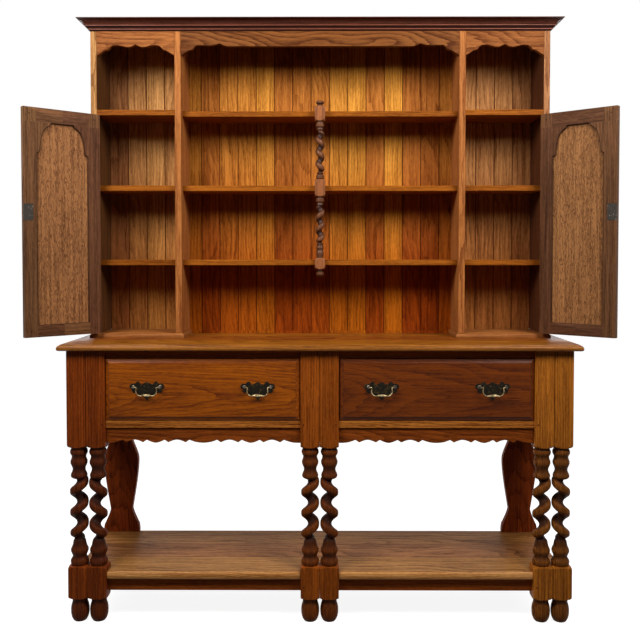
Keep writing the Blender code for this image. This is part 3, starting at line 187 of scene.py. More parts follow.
class Nodes:
    """A material's or a world's new node tree, with short calls for the nodes that finishes share."""

    def __init__(self, owner: bpy.types.Material | bpy.types.World) -> None:
        """Clear the tree.

        Args:
            owner: The material or the world that has the tree.
        """
        owner.use_nodes = True
        self.tree = owner.node_tree
        self.tree.nodes.clear()

    def add(self, kind: str, inputs: dict[str | int, object] | None = None,
            **settings: object) -> bpy.types.ShaderNode:
        """Add a node.

        Args:
            kind: The node's type, without the word ShaderNode.
            inputs: Sockets to link, and values to set, by input name or number.
            **settings: The node's own properties.

        Returns:
            The new node.
        """
        node = self.tree.nodes.new("ShaderNode" + kind)
        for key, value in settings.items():
            setattr(node, key, value)
        for key, value in (inputs or {}).items():
            if isinstance(value, Socket):
                self.tree.links.new(value, node.inputs[key])
            else:
                node.inputs[key].default_value = value
        return node

    def math(self, operation: str, *values: Socket | float, clamp: bool = False) -> Socket:
        """Return the result of a Math node on up to three values."""
        return self.add("Math", dict(enumerate(values)), operation=operation, use_clamp=clamp).outputs[0]

    def spread(self, value: Socket, low: float, high: float, start: float = 0.0, end: float = 1.0) -> Socket:
        """Return a value mapped smoothly from low..high to start..end, and held beyond them."""
        span = {"Value": value, "From Min": low, "From Max": high, "To Min": start, "To Max": end}
        return self.add("MapRange", span, interpolation_type="SMOOTHSTEP").outputs[0]

    def vector(self, x: Socket | float, y: Socket | float, z: Socket | float) -> Socket:
        """Return three values joined into a vector."""
        return self.add("CombineXYZ", {0: x, 1: y, 2: z}).outputs[0]

    def split(self, vector: Socket) -> dict[str, Socket]:
        """Return a vector's parts by axis letter."""
        return dict(zip("XYZ", self.add("SeparateXYZ", {0: vector}).outputs))

    def choose(self, share: Socket, first: Socket, second: Socket) -> dict[str, Socket]:
        """Return the parts of the first vector where share is 0, and of the second where it is 1."""
        inputs = {0: share, **dict(zip(MIXED_VECTORS, (first, second)))}
        return self.split(self.add("Mix", inputs, data_type="VECTOR").outputs[1])

    def noise(self, vector: Socket, scale: float, detail: float = 2.0) -> bpy.types.ShaderNode:
        """Return a Noise node read at a vector."""
        return self.add("TexNoise", {"Vector": vector, "Scale": scale, "Detail": detail})

    def dice(self, value: Socket) -> Socket:
        """Return a number from 0 to 1 that is fixed for each whole value."""
        return self.add("TexWhiteNoise", {"W": value}, noise_dimensions="1D").outputs["Value"]

    def blend(self, share: Socket | float, first: Socket | Colour, second: Socket | Colour,
              mode: str = "MIX") -> Socket:
        """Return two colours mixed by a share, in one of the Mix node's modes."""
        inputs = {0: share, **dict(zip(MIXED_COLOURS, (first, second)))}
        return self.add("Mix", inputs, data_type="RGBA", blend_type=mode).outputs[2]

    def restain(self, share: Socket, first: Stained, second: Stained) -> Stained:
        """Return two stains mixed by a share, each of their two colours by itself."""
        return self.blend(share, first[0], second[0]), self.blend(share, first[1], second[1])

    def seen_bare(self) -> Socket:
        """Tell the rays that show a surface from those that only carry its light.

        Returns:
            1 for the camera's own rays and for those off polish or through glass, or else 0.
        """
        path = self.add("LightPath").outputs
        bounced = self.math("MAXIMUM", path["Is Glossy Ray"], path["Is Transmission Ray"])
        return self.math("MAXIMUM", path["Is Camera Ray"], bounced)


class Figure(Enum):
    """How a board was sawn from its log, which sets what its face shows."""

    CROWN = "flat-sawn, with pointed arches down its middle"
    STRAIGHT = "rift-sawn, with straight lines"
    RAYED = "quarter-sawn, with pale ray flecks on straight lines"


@dataclass(frozen=True)
class Timber:
    """What all the dresser's oak has in common, whatever its stain.

    Attributes:
        bend: The long bends of the year rings: their stretch along the grain, and their fineness.
        waver: The short wavers of the rings in the same way, and how many rings they reach.
        early_fall: How steeply each year's early wood falls off into its late wood.
        plain: The shade of wood without rings, from 0 for late wood to 1 for early wood.
        early: How much early wood adds to the shade.
        year: How much the years differ in shade.
        ring_mean: What the two add on average, which is taken off again.
        pore_edge: The noise from which a pore starts, and at which it is full.
        late_pores: The share of the pores that late wood has.
        pore_share: How much of a pore is dark.
        fleck_edge: The noise from which a ray fleck starts, and at which it is full.
        board_tone: How much boards side by side differ in lightness.
        board_hue: How much they differ in hue.
        first_hue: The reddest board's hue, where 0.5 leaves it as it is.
        tone_and_valley_shade_share: How much of the dark colour the deepest points take: a darker tone over
            turned parts, and painted shade in their valleys.
        relief: How high pores, early wood and fibre stand.
        bump: The strength of that relief, and its depth.
        dulling: How much rougher early wood is than late wood.
        coat_roughness: The roughness of the hard polish.
    """

    bend: Point = (0.34, 4.5)
    waver: Triple = (0.12, 62.0, 0.9)
    early_fall: float = 2.4
    plain: float = 0.50
    early: float = 0.46
    year: float = 0.20
    ring_mean: float = 0.24
    pore_edge: Point = (0.54, 0.66)
    late_pores: float = 0.3
    pore_share: float = 0.7
    fleck_edge: Point = (0.54, 0.68)
    board_tone: float = 0.40
    board_hue: float = 0.016
    first_hue: float = 0.493
    tone_and_valley_shade_share: float = 0.94
    relief: Triple = (-0.8, -0.35, 0.35)
    bump: Point = (0.35, 0.0006)
    dulling: float = 0.16
    coat_roughness: float = 0.18


TIMBER = Timber()


@dataclass(frozen=True)
class Oak:
    """One board's oak, with its stain and its polish.

    Attributes:
        name: The material's name.
        stain: The colours of the dense late wood and of the open-pored early wood.
        axes: The axes of the board's grain, width and thickness, in that order.
        figure: How the board was sawn.
        heart: Where the log's heart lies, across the width and through the thickness.
        ring: The spacing of the year rings.
        slope: How far the rings climb through the board for each metre along it.
        seed: A number that moves the pattern along the grain.
        tone: How light the board is, against its fellows.
        roughness: The roughness of its polish.
        contrast: How strongly the year rings show.
        shine: How much a waxed face reflects.
        gloss: How much hard polish lies over the wax.
        tone_and_valley_shade: Whether the mesh says how deep each point lies, for a darker tone over turned
            parts and painted shade deep in their valleys.
    """

    name: str
    stain: Stain
    axes: str = "XZY"
    figure: Figure = Figure.CROWN
    heart: Point = (0.0, 0.0)
    ring: float = 0.0042
    slope: float = 0.02
    seed: float = 0.0
    tone: float = 1.0
    roughness: float = 0.42
    contrast: float = 1.0
    shine: float = 0.05
    gloss: float = 0.0
    tone_and_valley_shade: bool = False

    def lay(self, nodes: Nodes, place: Socket) -> Laid:
        """Turn a place in the model into a place in the board's log.

        Args:
            nodes: The material being made.
            place: The place in the model.

        Returns:
            The distance along the grain, across the width and through the thickness, and how
            light this board is, or None where the material is for one board alone.
        """
        parts = nodes.split(place)
        along, across, through = (parts[axis] for axis in self.axes)
        return along, across, through, None

    def stain_at(self, nodes: Nodes, place: Socket) -> Stained:
        """Return the stain at a place in the model."""
        return self.stain

    def rings(self, nodes: Nodes, along: Socket, across: Socket, through: Socket) -> Socket:
        """Count the year rings between a place and the log's heart.

        Args:
            nodes: The material being made.
            along: How far along the grain the place is.
            across: How far across the width.
            through: How far through the thickness.

        Returns:
            The number of rings, of which the fraction is the place's age in its own year.
        """
        stretch, scale = TIMBER.bend
        bend = nodes.noise(nodes.vector(nodes.math("MULTIPLY", along, stretch), across, through), scale)
        bent = nodes.split(bend.outputs["Color"])
        if self.figure is Figure.CROWN:
            far, sway, climb, depth = 0.0, 0.050, self.slope, 0.042
        else:
            far, sway, climb, depth = 0.45, 0.022, 0.004, 0.02
        depth = nodes.math("MULTIPLY_ADD", along, climb, depth - self.heart[1])
        across = nodes.math("ADD", across, far - self.heart[0])
        across = nodes.math("MULTIPLY_ADD", bent["X"], sway, across)
        depth = nodes.math("ADD", nodes.math("MULTIPLY_ADD", bent["Y"], sway * 1.2, through), depth)
        radius = nodes.math("SQRT", nodes.math("ADD", nodes.math("MULTIPLY", across, across),
                                               nodes.math("MULTIPLY", depth, depth)))
        stretch, scale, reach = TIMBER.waver
        waver = nodes.noise(nodes.vector(nodes.math("MULTIPLY", along, stretch), across, depth), scale)
        count = nodes.math("DIVIDE", radius, self.ring)
        return nodes.math("MULTIPLY_ADD", waver.outputs["Fac"], reach, count)

    @cache
    def material(self) -> bpy.types.Material:
        """Build the board's material on the first call, and hand the same one out after that.

        Returns:
            The material.
        """
        material = bpy.data.materials.new(self.name)
        nodes = Nodes(material)
        place = nodes.add("TexCoord").outputs["Object"]
        along, across, through, lightness = self.lay(nodes, place)
        along = nodes.math("ADD", along, self.seed * 1.37)
        count = self.rings(nodes, along, across, through)
        # Each year's early wood fades into its late wood, and each year has a shade of its own
        early = nodes.math("POWER", nodes.math("SUBTRACT", 1.0, nodes.math("FRACT", count)),
                           TIMBER.early_fall)
        year = nodes.dice(nodes.math("FLOOR", count))

        def grain(stretch: float, scale: float, detail: float) -> Socket:
            """Return noise drawn out along the grain."""
            drawn = nodes.vector(nodes.math("MULTIPLY", along, stretch), across, through)
            return nodes.noise(drawn, scale, detail).outputs["Fac"]

        # The pores lie thickest in the early wood
        pores = nodes.spread(grain(*PORE_NOISE), *TIMBER.pore_edge)
        thick = nodes.math("MULTIPLY_ADD", early, 1 - TIMBER.late_pores, TIMBER.late_pores)
        pores = nodes.math("MULTIPLY", pores, thick)
        shade = nodes.math("MULTIPLY_ADD", early, TIMBER.early * self.contrast, TIMBER.plain)
        shade = nodes.math("MULTIPLY_ADD", year, TIMBER.year * self.contrast, shade)
        noises = {kind: grain(*drawing) for kind, (drawing, _) in GRAIN_NOISES.items()}
        for kind, (_, weight) in GRAIN_NOISES.items():
            centred = nodes.math("SUBTRACT", shade, weight / 2)
            shade = nodes.math("MULTIPLY_ADD", noises[kind], weight, centred)
        shade = nodes.math("SUBTRACT", shade, TIMBER.ring_mean * self.contrast, clamp=True)

        stained = self.stain_at(nodes, place)
        colour = nodes.blend(shade, *stained)
        in_pores = nodes.blend(1.0, colour, PORE_COLOUR, "MULTIPLY")
        colour = nodes.blend(nodes.math("MULTIPLY", pores, TIMBER.pore_share), colour, in_pores)
        if self.figure is Figure.RAYED:
            for (stretch, scale, share), tint in zip(RAY_FLECKS, stained):
                flecks = nodes.spread(grain(stretch, scale, 1.0), *TIMBER.fleck_edge, 0.0, share)
                colour = nodes.blend(flecks, colour, tint)
        hue = {"Saturation": 1.0, "Value": self.tone, "Color": colour}
        if lightness is not None:
            darkest = self.tone - TIMBER.board_tone / 2
            hue["Value"] = nodes.math("MULTIPLY_ADD", lightness, TIMBER.board_tone, darkest)
            hue["Hue"] = nodes.math("MULTIPLY_ADD", lightness, TIMBER.board_hue, TIMBER.first_hue)
        colour = nodes.add("HueSaturation", hue).outputs[0]
        # The mesh's hollow value darkens every turned part, and adds painted shade deep in the twists'
        # valleys
        if self.tone_and_valley_shade:
            hollow = nodes.add("Attribute", attribute_name="hollow").outputs["Fac"]
            hollow = nodes.math("MULTIPLY", hollow, TIMBER.tone_and_valley_shade_share)
            colour = nodes.blend(hollow, colour, TONE_AND_VALLEY_SHADE_COLOUR)

        # The pores and the early wood lie a little lower than the rest
        in_pore, in_early, on_fibre = TIMBER.relief
        relief = nodes.math("MULTIPLY_ADD", pores, in_pore, nodes.math("MULTIPLY", early, in_early))
        relief = nodes.math("MULTIPLY_ADD", noises["fibre"], on_fibre, relief)
        strength, depth = TIMBER.bump
        bump = nodes.add("Bump", {"Height": relief, "Strength": strength, "Distance": depth})
        polish = nodes.add("BsdfPrincipled", {
            "Base Color": colour,
            "Roughness": nodes.math("MULTIPLY_ADD", shade, TIMBER.dulling, self.roughness),
            "Normal": bump.outputs[0], "Specular IOR Level": self.shine, "Coat Weight": self.gloss,
            "Coat Roughness": TIMBER.coat_roughness,
        })
        nodes.add("OutputMaterial", {"Surface": polish.outputs[0]})
        return material


@dataclass(frozen=True)
class BoardedOak(Oak):
    """Oak in several boards side by side, each of its own log.

    Attributes:
        start: Where the first board's edge lies, across the boards.
        pitch: The width of a board.
        joint: How far from a joint its dark line still shows, as a share of the pitch.
        inner_from: How far from the middle the paler boards of the cupboards start, or nothing.
        ruddy_span: The heights between which the boards turn from ruddy to their own stain.
    """

    start: float = 0.0
    pitch: float = 0.07
    joint: float = 0.0
    inner_from: float = 0.0
    ruddy_span: Point = (0.95, 1.75)

    def steps(self, nodes: Nodes, across: Socket) -> Socket:
        """Return how many boards a place is from the first board's edge."""
        return nodes.math("DIVIDE", nodes.math("SUBTRACT", across, self.start), self.pitch)

    def stain_at(self, nodes: Nodes, place: Socket) -> Stained:
        """Find the stain at a place in the model.

        Args:
            nodes: The material being made.
            place: The place in the model.

        Returns:
            The colours of the late wood and of the early wood.
        """
        parts = nodes.split(place)
        stained = self.stain
        if self.inner_from:
            low = nodes.spread(parts["Z"], *self.ruddy_span, 1.0, 0.0)
            stained = nodes.restain(low, stained, RUDDY_BOARD)
            aside = nodes.math("GREATER_THAN", nodes.math("ABSOLUTE", parts["X"]), self.inner_from)
            stained = nodes.restain(aside, stained, nodes.restain(low, INNER, INNER_LOW))
        if self.joint:
            near = nodes.math("PINGPONG", self.steps(nodes, parts[self.axes[1]]), 0.5)
            line = nodes.spread(near, 0.0, self.joint, 0.75, 0.0)
            stained = nodes.restain(line, stained, (DARK[1], DARK[1]))
        return stained

    def lay(self, nodes: Nodes, place: Socket) -> Laid:
        """Turn a place in the model into a place in the log of the board there.

        Args:
            nodes: The material being made.
            place: The place in the model.

        Returns:
            The distance along the grain, across the width and through the thickness, and how
            light the board there is.
        """
        along, across, through, _ = super().lay(nodes, place)
        board = nodes.math("FLOOR", self.steps(nodes, across))
        chance = nodes.dice(nodes.math("ADD", board, self.seed + 0.5))
        second = nodes.dice(nodes.math("ADD", board, self.seed + 40.5))
        along = nodes.math("MULTIPLY_ADD", chance, 9.0, along)
        middle = nodes.math("MULTIPLY_ADD", nodes.math("ADD", board, second), self.pitch, self.start)
        across = nodes.math("MULTIPLY_ADD", chance, 0.20, nodes.math("SUBTRACT", across, middle))
        through = nodes.math("MULTIPLY_ADD", second, 0.05, through)
        return along, across, through, chance


# Painted light: faces take their stain by which way they look, paler at the front and outward
@dataclass(frozen=True)
class FacingLitOak(BoardedOak):
    """Oak whose front edge is paler than its faces.

    Attributes:
        front: The paler stain that front faces take, as painted light.
        front_turn: The normal's Y from which a face counts as a front edge, and where it stops.
        end_share: How much of the front edge's stain the outward faces have.
    """

    front: Stain = FRONT_LIT
    front_turn: Point = (-0.8, -0.15)
    end_share: float = 0.6

    def stain_at(self, nodes: Nodes, place: Socket) -> Stained:
        """Find the stain at a place in the model.

        Args:
            nodes: The material being made.
            place: The place in the model.

        Returns:
            The colours of the late wood and of the early wood.
        """
        # Painted light: front faces paler, outward ends part of the way
        facing = nodes.split(nodes.add("NewGeometry").outputs["Normal"])
        front = nodes.spread(facing["Y"], *self.front_turn, 1.0, 0.0)
        outward = nodes.math("MULTIPLY", facing["X"], nodes.split(place)["X"])
        end = nodes.math("MULTIPLY", nodes.math("GREATER_THAN", outward, 0.3), self.end_share)
        return nodes.restain(nodes.math("MAXIMUM", front, end), self.stain, self.front)


@dataclass(frozen=True)
class DoorOak(Oak):
    """The oak of a door frame: upright stiles with rails between them.

    Attributes:
        pivot: Where the door's hinge line stands.
        angle: How far the door stands turned from shut, about the upright axis.
        stile: How wide each stile is.
        width: How wide the door is.
        levels: The heights between which the stiles run beside the panel.
    """

    pivot: Point = (0.0, 0.0)
    angle: float = 0.0
    stile: float = 0.042
    width: float = 0.2645
    levels: Point = (0.9643, 1.626)

    def lay(self, nodes: Nodes, place: Socket) -> Laid:
        """Turn a place in the model into a place in the log of the stile or rail there.

        Args:
            nodes: The material being made.
            place: The place in the model.

        Returns:
            The distance along the grain, across the width and through the thickness, and how
            light the stile or rail there is.
        """
        shut = nodes.add("Mapping", {"Vector": place, "Location": (*self.pivot, 0.0),
                                     "Rotation": (0.0, 0.0, self.angle)}, vector_type="TEXTURE")
        parts = nodes.split(shut.outputs[0])
        middle = nodes.math("SUBTRACT", nodes.math("ABSOLUTE", parts["X"]), self.width / 2)
        inside = nodes.math("LESS_THAN", nodes.math("ABSOLUTE", middle), self.width / 2 - self.stile)
        above = nodes.math("GREATER_THAN", parts["Z"], self.levels[1])
        below = nodes.math("LESS_THAN", parts["Z"], self.levels[0])
        rail = nodes.math("MULTIPLY", inside, nodes.math("MAXIMUM", above, below))
        hand = nodes.math("GREATER_THAN", middle, 0.0)
        piece = nodes.math("MULTIPLY_ADD", rail, 4.0, nodes.math("MULTIPLY_ADD", hand, 1.0, above))
        chance = nodes.dice(nodes.math("ADD", piece, self.seed + 0.5))
        laid = nodes.choose(rail, nodes.vector(parts["Z"], parts["X"], parts["Y"]),
                            nodes.vector(parts["X"], parts["Z"], parts["Y"]))
        along = nodes.math("MULTIPLY_ADD", chance, 7.0, laid["X"])
        return along, laid["Y"], laid["Z"], chance


@dataclass(frozen=True)
class MitredOak(Oak):
    """The oak of a moulding that runs along a front and returns along both ends.

    Attributes:
        corner: Half the length of the moulded board, and where its front stands.
        highlight_lines: The heights of the bright lines, painted highlights on the moulding's flat steps.
        shaded_grooves: The bottom and top of each dark band, painted shade in the moulding's coves.
        highlight_half: Half the height of a painted highlight line.
    """

    corner: Point = (2.0, 0.0175)
    highlight_lines: tuple[float, ...] = ()
    shaded_grooves: tuple[Point, ...] = ()
    highlight_half: float = 0.0006

    def stain_at(self, nodes: Nodes, place: Socket) -> Stained:
        """Find the stain at a place in the model.

        Args:
            nodes: The material being made.
            place: The place in the model.

        Returns:
            The colours of the late wood and of the early wood.
        """
        parts = nodes.split(place)
        past_end = nodes.math("SUBTRACT", nodes.math("ABSOLUTE", parts["X"]), self.corner[0])
        past_front = nodes.math("SUBTRACT", self.corner[1], parts["Y"])
        outside = nodes.math("GREATER_THAN", nodes.math("MAXIMUM", past_end, past_front), -0.002)
        # Painted shade: dark bands in the moulding's coves, on the outer faces only
        marks = [((low + high) / 2, (high - low) / 2, 0.80, GROOVE_SHADE_COLOUR) for low, high in self.shaded_grooves]
        # Painted highlights: bright lines at set heights, on the outer faces only
        marks += [(level, self.highlight_half, 0.60, HIGHLIGHT_COLOUR) for level in self.highlight_lines]
        stained = self.stain
        for level, half, share, tint in marks:
            away = nodes.math("ABSOLUTE", nodes.math("SUBTRACT", parts["Z"], level))
            mark = nodes.math("MULTIPLY", nodes.spread(away, half * 0.55, half * 1.35, share, 0.0), outside)
            stained = nodes.restain(mark, stained, (tint, tint))
        return stained

    def lay(self, nodes: Nodes, place: Socket) -> Laid:
        """Turn a place in the model into a place in the log of the front or the return there.

        Args:
            nodes: The material being made.
            place: The place in the model.

        Returns:
            The distance along the grain, across the width and through the thickness, and None.
        """
        parts = nodes.split(place)
        past_end = nodes.math("SUBTRACT", nodes.math("ABSOLUTE", parts["X"]), self.corner[0])
        past_front = nodes.math("SUBTRACT", self.corner[1], parts["Y"])
        end = nodes.math("GREATER_THAN", past_end, nodes.math("MAXIMUM", past_front, 0.0))
        laid = nodes.choose(end, nodes.vector(parts["X"], parts["Z"], parts["Y"]),
                            nodes.vector(parts["Y"], parts["Z"], parts["X"]))
        return laid["X"], laid["Y"], laid["Z"], None


@dataclass(frozen=True)
class Metal:
    """A cast or rolled metal with its patina.

    Attributes:
        name: The material's name.
        bright: The colour of the bare metal.
        patina: The colour of the tarnish on it.
        worn: The noise from which the tarnish starts to go, and at which it is gone.
        roughness: The roughness of the bare metal.
        metallic: How metallic the tarnish still is.
        shine: How much the tarnish reflects.
    """

    name: str
    bright: Colour
    patina: Colour
    worn: Point
    roughness: float
    metallic: float
    shine: float = 0.5

    @cache
    def material(self) -> bpy.types.Material:
        """Build the metal's material on the first call, and hand the same one out after that.

        Returns:
            The material.
        """
        material = bpy.data.materials.new(self.name)
        nodes = Nodes(material)
        place = nodes.add("TexCoord").outputs["Object"]
        blotch = nodes.noise(place, 160.0, 4.0).outputs["Fac"]
        grit = nodes.noise(place, 900.0, 2.0).outputs["Fac"]
        bare = nodes.spread(blotch, *self.worn)
        rough = nodes.math("MULTIPLY_ADD", nodes.math("SUBTRACT", 1.0, bare), 0.22, self.roughness)
        bump = nodes.add("Bump", {"Height": nodes.math("ADD", grit, blotch), "Strength": 0.25,
                                  "Distance": 0.0003})
        shader = nodes.add("BsdfPrincipled", {
            "Base Color": nodes.blend(bare, self.patina, self.bright), "Metallic": self.metallic,
            "Roughness": rough, "Normal": bump.outputs[0], "Specular IOR Level": self.shine,
        })
        nodes.add("OutputMaterial", {"Surface": shader.outputs[0]})
        return material


AGED_BRASS = Metal("aged_brass", colour_of(74, 60, 30), colour_of(20, 15, 7), (0.52, 0.74), 0.50, 0.10, 0.12)
PALE_BRASS = Metal("pale_brass", colour_of(180, 158, 116), colour_of(92, 74, 44), (0.36, 0.62), 0.34, 0.8)
WORN_BRASS = Metal("worn_brass", colour_of(122, 106, 86), colour_of(44, 34, 25), (0.46, 0.70), 0.36, 0.6)
OLD_IRON = Metal("old_iron", colour_of(112, 102, 90), colour_of(54, 48, 42), (0.55, 0.75), 0.44, 0.75)


def add_piece(name: str, bm: Mesh, finish: Oak | Metal, body: str,
              stands_for: str | None = None, sharp: float = 34.0) -> None:
    """Turn a bmesh into a piece of the dresser.

    Args:
        name: The piece's name.
        bm: The shape, which is used up.
        finish: The piece's oak or metal.
        body: The body that it moves with.
        stands_for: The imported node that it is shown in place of.
        sharp: The angle in degrees above which an edge stays crisp.
    """
    bmesh.ops.recalc_face_normals(bm, faces=bm.faces)
    mesh = bpy.data.meshes.new(name)
    bm.to_mesh(mesh)
    bm.free()
    for polygon in mesh.polygons:
        polygon.use_smooth = True
    mesh.set_sharp_from_angle(angle=math.radians(sharp))
    mesh.materials.append(finish.material())
    piece = bpy.data.objects.new(name, mesh)
    bpy.context.scene.collection.objects.link(piece)
    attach(piece, body)
    if stands_for:
        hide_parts(stands_for)
    LOG.info("made %s", name)


def dress(node: str, finish: Oak | Metal, arris: float = 0.0) -> None:
    """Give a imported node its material, and ease its arrises.

    Args:
        node: The node.
        finish: Its oak or metal.
        arris: How wide an eased arris is, or nothing to leave them.
    """
    piece = NODES[node]
    piece.material_slots[0].link = "OBJECT"
    piece.material_slots[0].material = finish.material()
    if arris:
        weld = piece.modifiers.new("weld", "WELD")
        weld.merge_threshold = 1e-5
        ease = piece.modifiers.new("arris", "BEVEL")
        ease.width = arris
        ease.segments = 2
        ease.limit_method = "ANGLE"
        ease.angle_limit = math.radians(50)
        ease.use_clamp_overlap = True
    LOG.info("dressed %s", node)


def round_section(bm: Mesh, centre: Vector, across: Vector, up: Vector, radius: float, sides: int,
                  start: float = 0.0) -> list[Corner]:
    """Add the points of a round section to a mesh.

    Args:
        bm: The mesh.
        centre: The section's middle.
        across: The way from the middle to the first point.
        up: The way from the middle to the point a quarter turn on.
        radius: The section's radius.
        sides: How many points it has.
        start: How far the points are turned on, as a share of a side.

    Returns:
        The points, in order.
    """
    angles = [math.tau * (k + start) / sides for k in range(sides)]
    return [bm.verts.new(centre + (across * math.cos(a) + up * math.sin(a)) * radius) for a in angles]


def skin(bm: Mesh, sections: Sequence[list[Corner]], endless: bool = False) -> Mesh:
    """Cover a row of sections that all have as many points.

    Args:
        bm: The mesh.
        sections: The points of each section.
        endless: Whether the last section joins the first, or else both ends are closed.

    Returns:
        The mesh.
    """
    count = len(sections[0])
    following = [*sections[1:], sections[0]] if endless else sections[1:]
    for near, far in zip(sections, following):
        for k in range(count):
            after = (k + 1) % count
            bm.faces.new((near[k], near[after], far[after], far[k]))
    if not endless:
        bm.faces.new(sections[0][::-1])
        bm.faces.new(sections[-1])
    return bm


def hermite(t: float) -> tuple[float, float, float, float]:
    """Return the weights of a curve's start, start slope, end and end slope at a share t of its length."""
    return 2 * t ** 3 - 3 * t ** 2 + 1, t ** 3 - 2 * t ** 2 + t, 3 * t ** 2 - 2 * t ** 3, t ** 3 - t ** 2


def corner_turn(before: Vector, here: Vector, after: Vector) -> float:
    """Return how sharply a line turns at a point, in radians, or nothing where points coincide."""
    first, second = here - before, after - here
    return first.angle(second, 0.0) if min(first.length, second.length) > 1e-9 else 0.0


def round_off(line: Sequence[Vector], closed: bool, sharp: float = 38.0, steps: int = 4,
              longest: float = 0.06) -> list[Vector]:
    """Draw a smooth line through points, with the sharp corners and long straights kept.

    Args:
        line: The points.
        closed: Whether the line runs back to its first point.
        sharp: The turn in degrees from which a corner stays sharp.
        steps: How many parts each stretch is cut into.
        longest: The length from which a stretch stays straight.

    Returns:
        The finer line's points.
    """
    count = len(line)
    corners = set() if closed else {0, count - 1}
    for index in range(0 if closed else 1, count if closed else count - 1):
        before, after = line[index - 1], line[(index + 1) % count]
        long_side = max((line[index] - before).length, (after - line[index]).length) > longest
        if long_side or corner_turn(before, line[index], after) > math.radians(sharp):
            corners.add(index)
    fine = []
    for index in range(count if closed else count - 1):
        a, b = line[index], line[(index + 1) % count]
        fine.append(a.copy())
        if (b - a).length > longest:
            continue
        start = (b - a) if index in corners else (b - line[index - 1]) / 2
        end = (b - a) if (index + 1) % count in corners else (line[(index + 2) % count] - a) / 2
        for step in range(1, steps):
            at_a, along_a, at_b, along_b = hermite(step / steps)
            fine.append(a * at_a + start * along_a + b * at_b + end * along_b)
    if not closed:
        fine.append(line[-1].copy())
    return fine


def flat_loops(node: str, normal: Vector, level: float) -> list[list[Vector]]:
    """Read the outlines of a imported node's faces that lie on one plane.

    Args:
        node: The node.
        normal: The way that the faces look.
        level: How far along the normal the plane lies.

    Returns:
        Each closed outline's points without those on straights, the longest outline first.
    """
    bm = bmesh.new()
    bm.from_mesh(NODES[node].data)
    bmesh.ops.remove_doubles(bm, verts=bm.verts, dist=1e-5)
    flat = {face for face in bm.faces
            if face.normal.dot(normal) > 0.999 and abs(face.calc_center_median().dot(normal) - level) < 2e-4}
    rim = {edge for edge in bm.edges if sum(face in flat for face in edge.link_faces) == 1}
    loops = []
    for edge in list(bm.edges):
        if edge not in rim:
            continue
        rim.discard(edge)
        loop, vertex = [edge.verts[0]], edge.verts[1]
        while vertex is not loop[0]:
            loop.append(vertex)
            edge = next((e for e in vertex.link_edges if e in rim), None)
            if edge is None:
                break
            rim.discard(edge)
            vertex = edge.other_vert(vertex)
        loops.append([v.co.copy() for v in loop])
    bm.free()
    bent = [[point for index, point in enumerate(loop)
             if corner_turn(loop[index - 1], point, loop[(index + 1) % len(loop)]) > 1e-3] for loop in loops]
    return sorted(bent, key=lambda loop: -sum((a - b).length for a, b in zip(loop, loop[1:] + loop[:1])))


def sawn_board(outline: Sequence[Vector], normal: Vector, thickness: float, arris: float = 0.0008,
               bm: Mesh | None = None) -> Mesh:
    """Cut a board to an outline and ease its front arris.

    Args:
        outline: The outline on the board's front face.
        normal: The way that the front looks.
        thickness: The board's thickness.
        arris: How much of the front arris is taken off.
        bm: A mesh to add the board to, or None to start one.

    Returns:
        The board's mesh.
    """
    count = len(outline)
    middle = sum(outline, Vector()) / count
    spokes = [point - middle for point in outline]
    area = sum((spokes[i].cross(spokes[(i + 1) % count]) for i in range(count)), Vector())
    points = list(outline) if area.dot(normal) > 0 else list(reversed(outline))
    inner = []
    for index, point in enumerate(points):
        way = points[(index + 1) % count] - points[index - 1]
        inner.append(point + normal.cross(way.normalized()) * arris)
    bm = bm or bmesh.new()
    return skin(bm, [[bm.verts.new(p) for p in inner],
                     [bm.verts.new(p - normal * arris) for p in points],
                     [bm.verts.new(p - normal * thickness) for p in points]])


def fielded_board(low: Vector, high: Vector, moulding: Sequence[Point]) -> Mesh:
    """Build a fielded board that looks towards -Y.

    Args:
        low: The board's lowest corner.
        high: Its highest corner.
        moulding: How far in from the edge, and how far behind the front, each line of the field's
            border runs, from the outer edge inward.

    Returns:
        The board's mesh.
    """
    bm = bmesh.new()
    rings = []
    for inset, depth in [(0.0, high.y - low.y), *moulding]:
        left, right, bottom, top = low.x + inset, high.x - inset, low.z + inset, high.z - inset
        corners = ((left, bottom), (right, bottom), (right, top), (left, top))
        rings.append([bm.verts.new((x, low.y + depth, z)) for x, z in corners])
    return skin(bm, rings)


def peg_shape(at: Vector, way: Vector, radius: float) -> Mesh:
    """Build a cleft peg's end: eight-sided, and hardly proud of the face.

    Args:
        at: The middle of the peg's end.
        way: The way that it looks.
        radius: The peg's radius.

    Returns:
        The peg's mesh.
    """
    bm = bmesh.new()
    turn = way.to_track_quat("Z", "Y")
    across, up = turn @ Vector((1.0, 0.0, 0.0)), turn @ Vector((0.0, 1.0, 0.0))
    # Shares of the radius, and how far out of the face each is
    steps = ((1.0, -0.004), (1.0, -0.0001), (0.86, 0.0002), (0.3, 0.0003))
    return skin(bm, [round_section(bm, at + way * out, across, up, radius * share, PEG_SIDES, 0.3)
                     for share, out in steps])


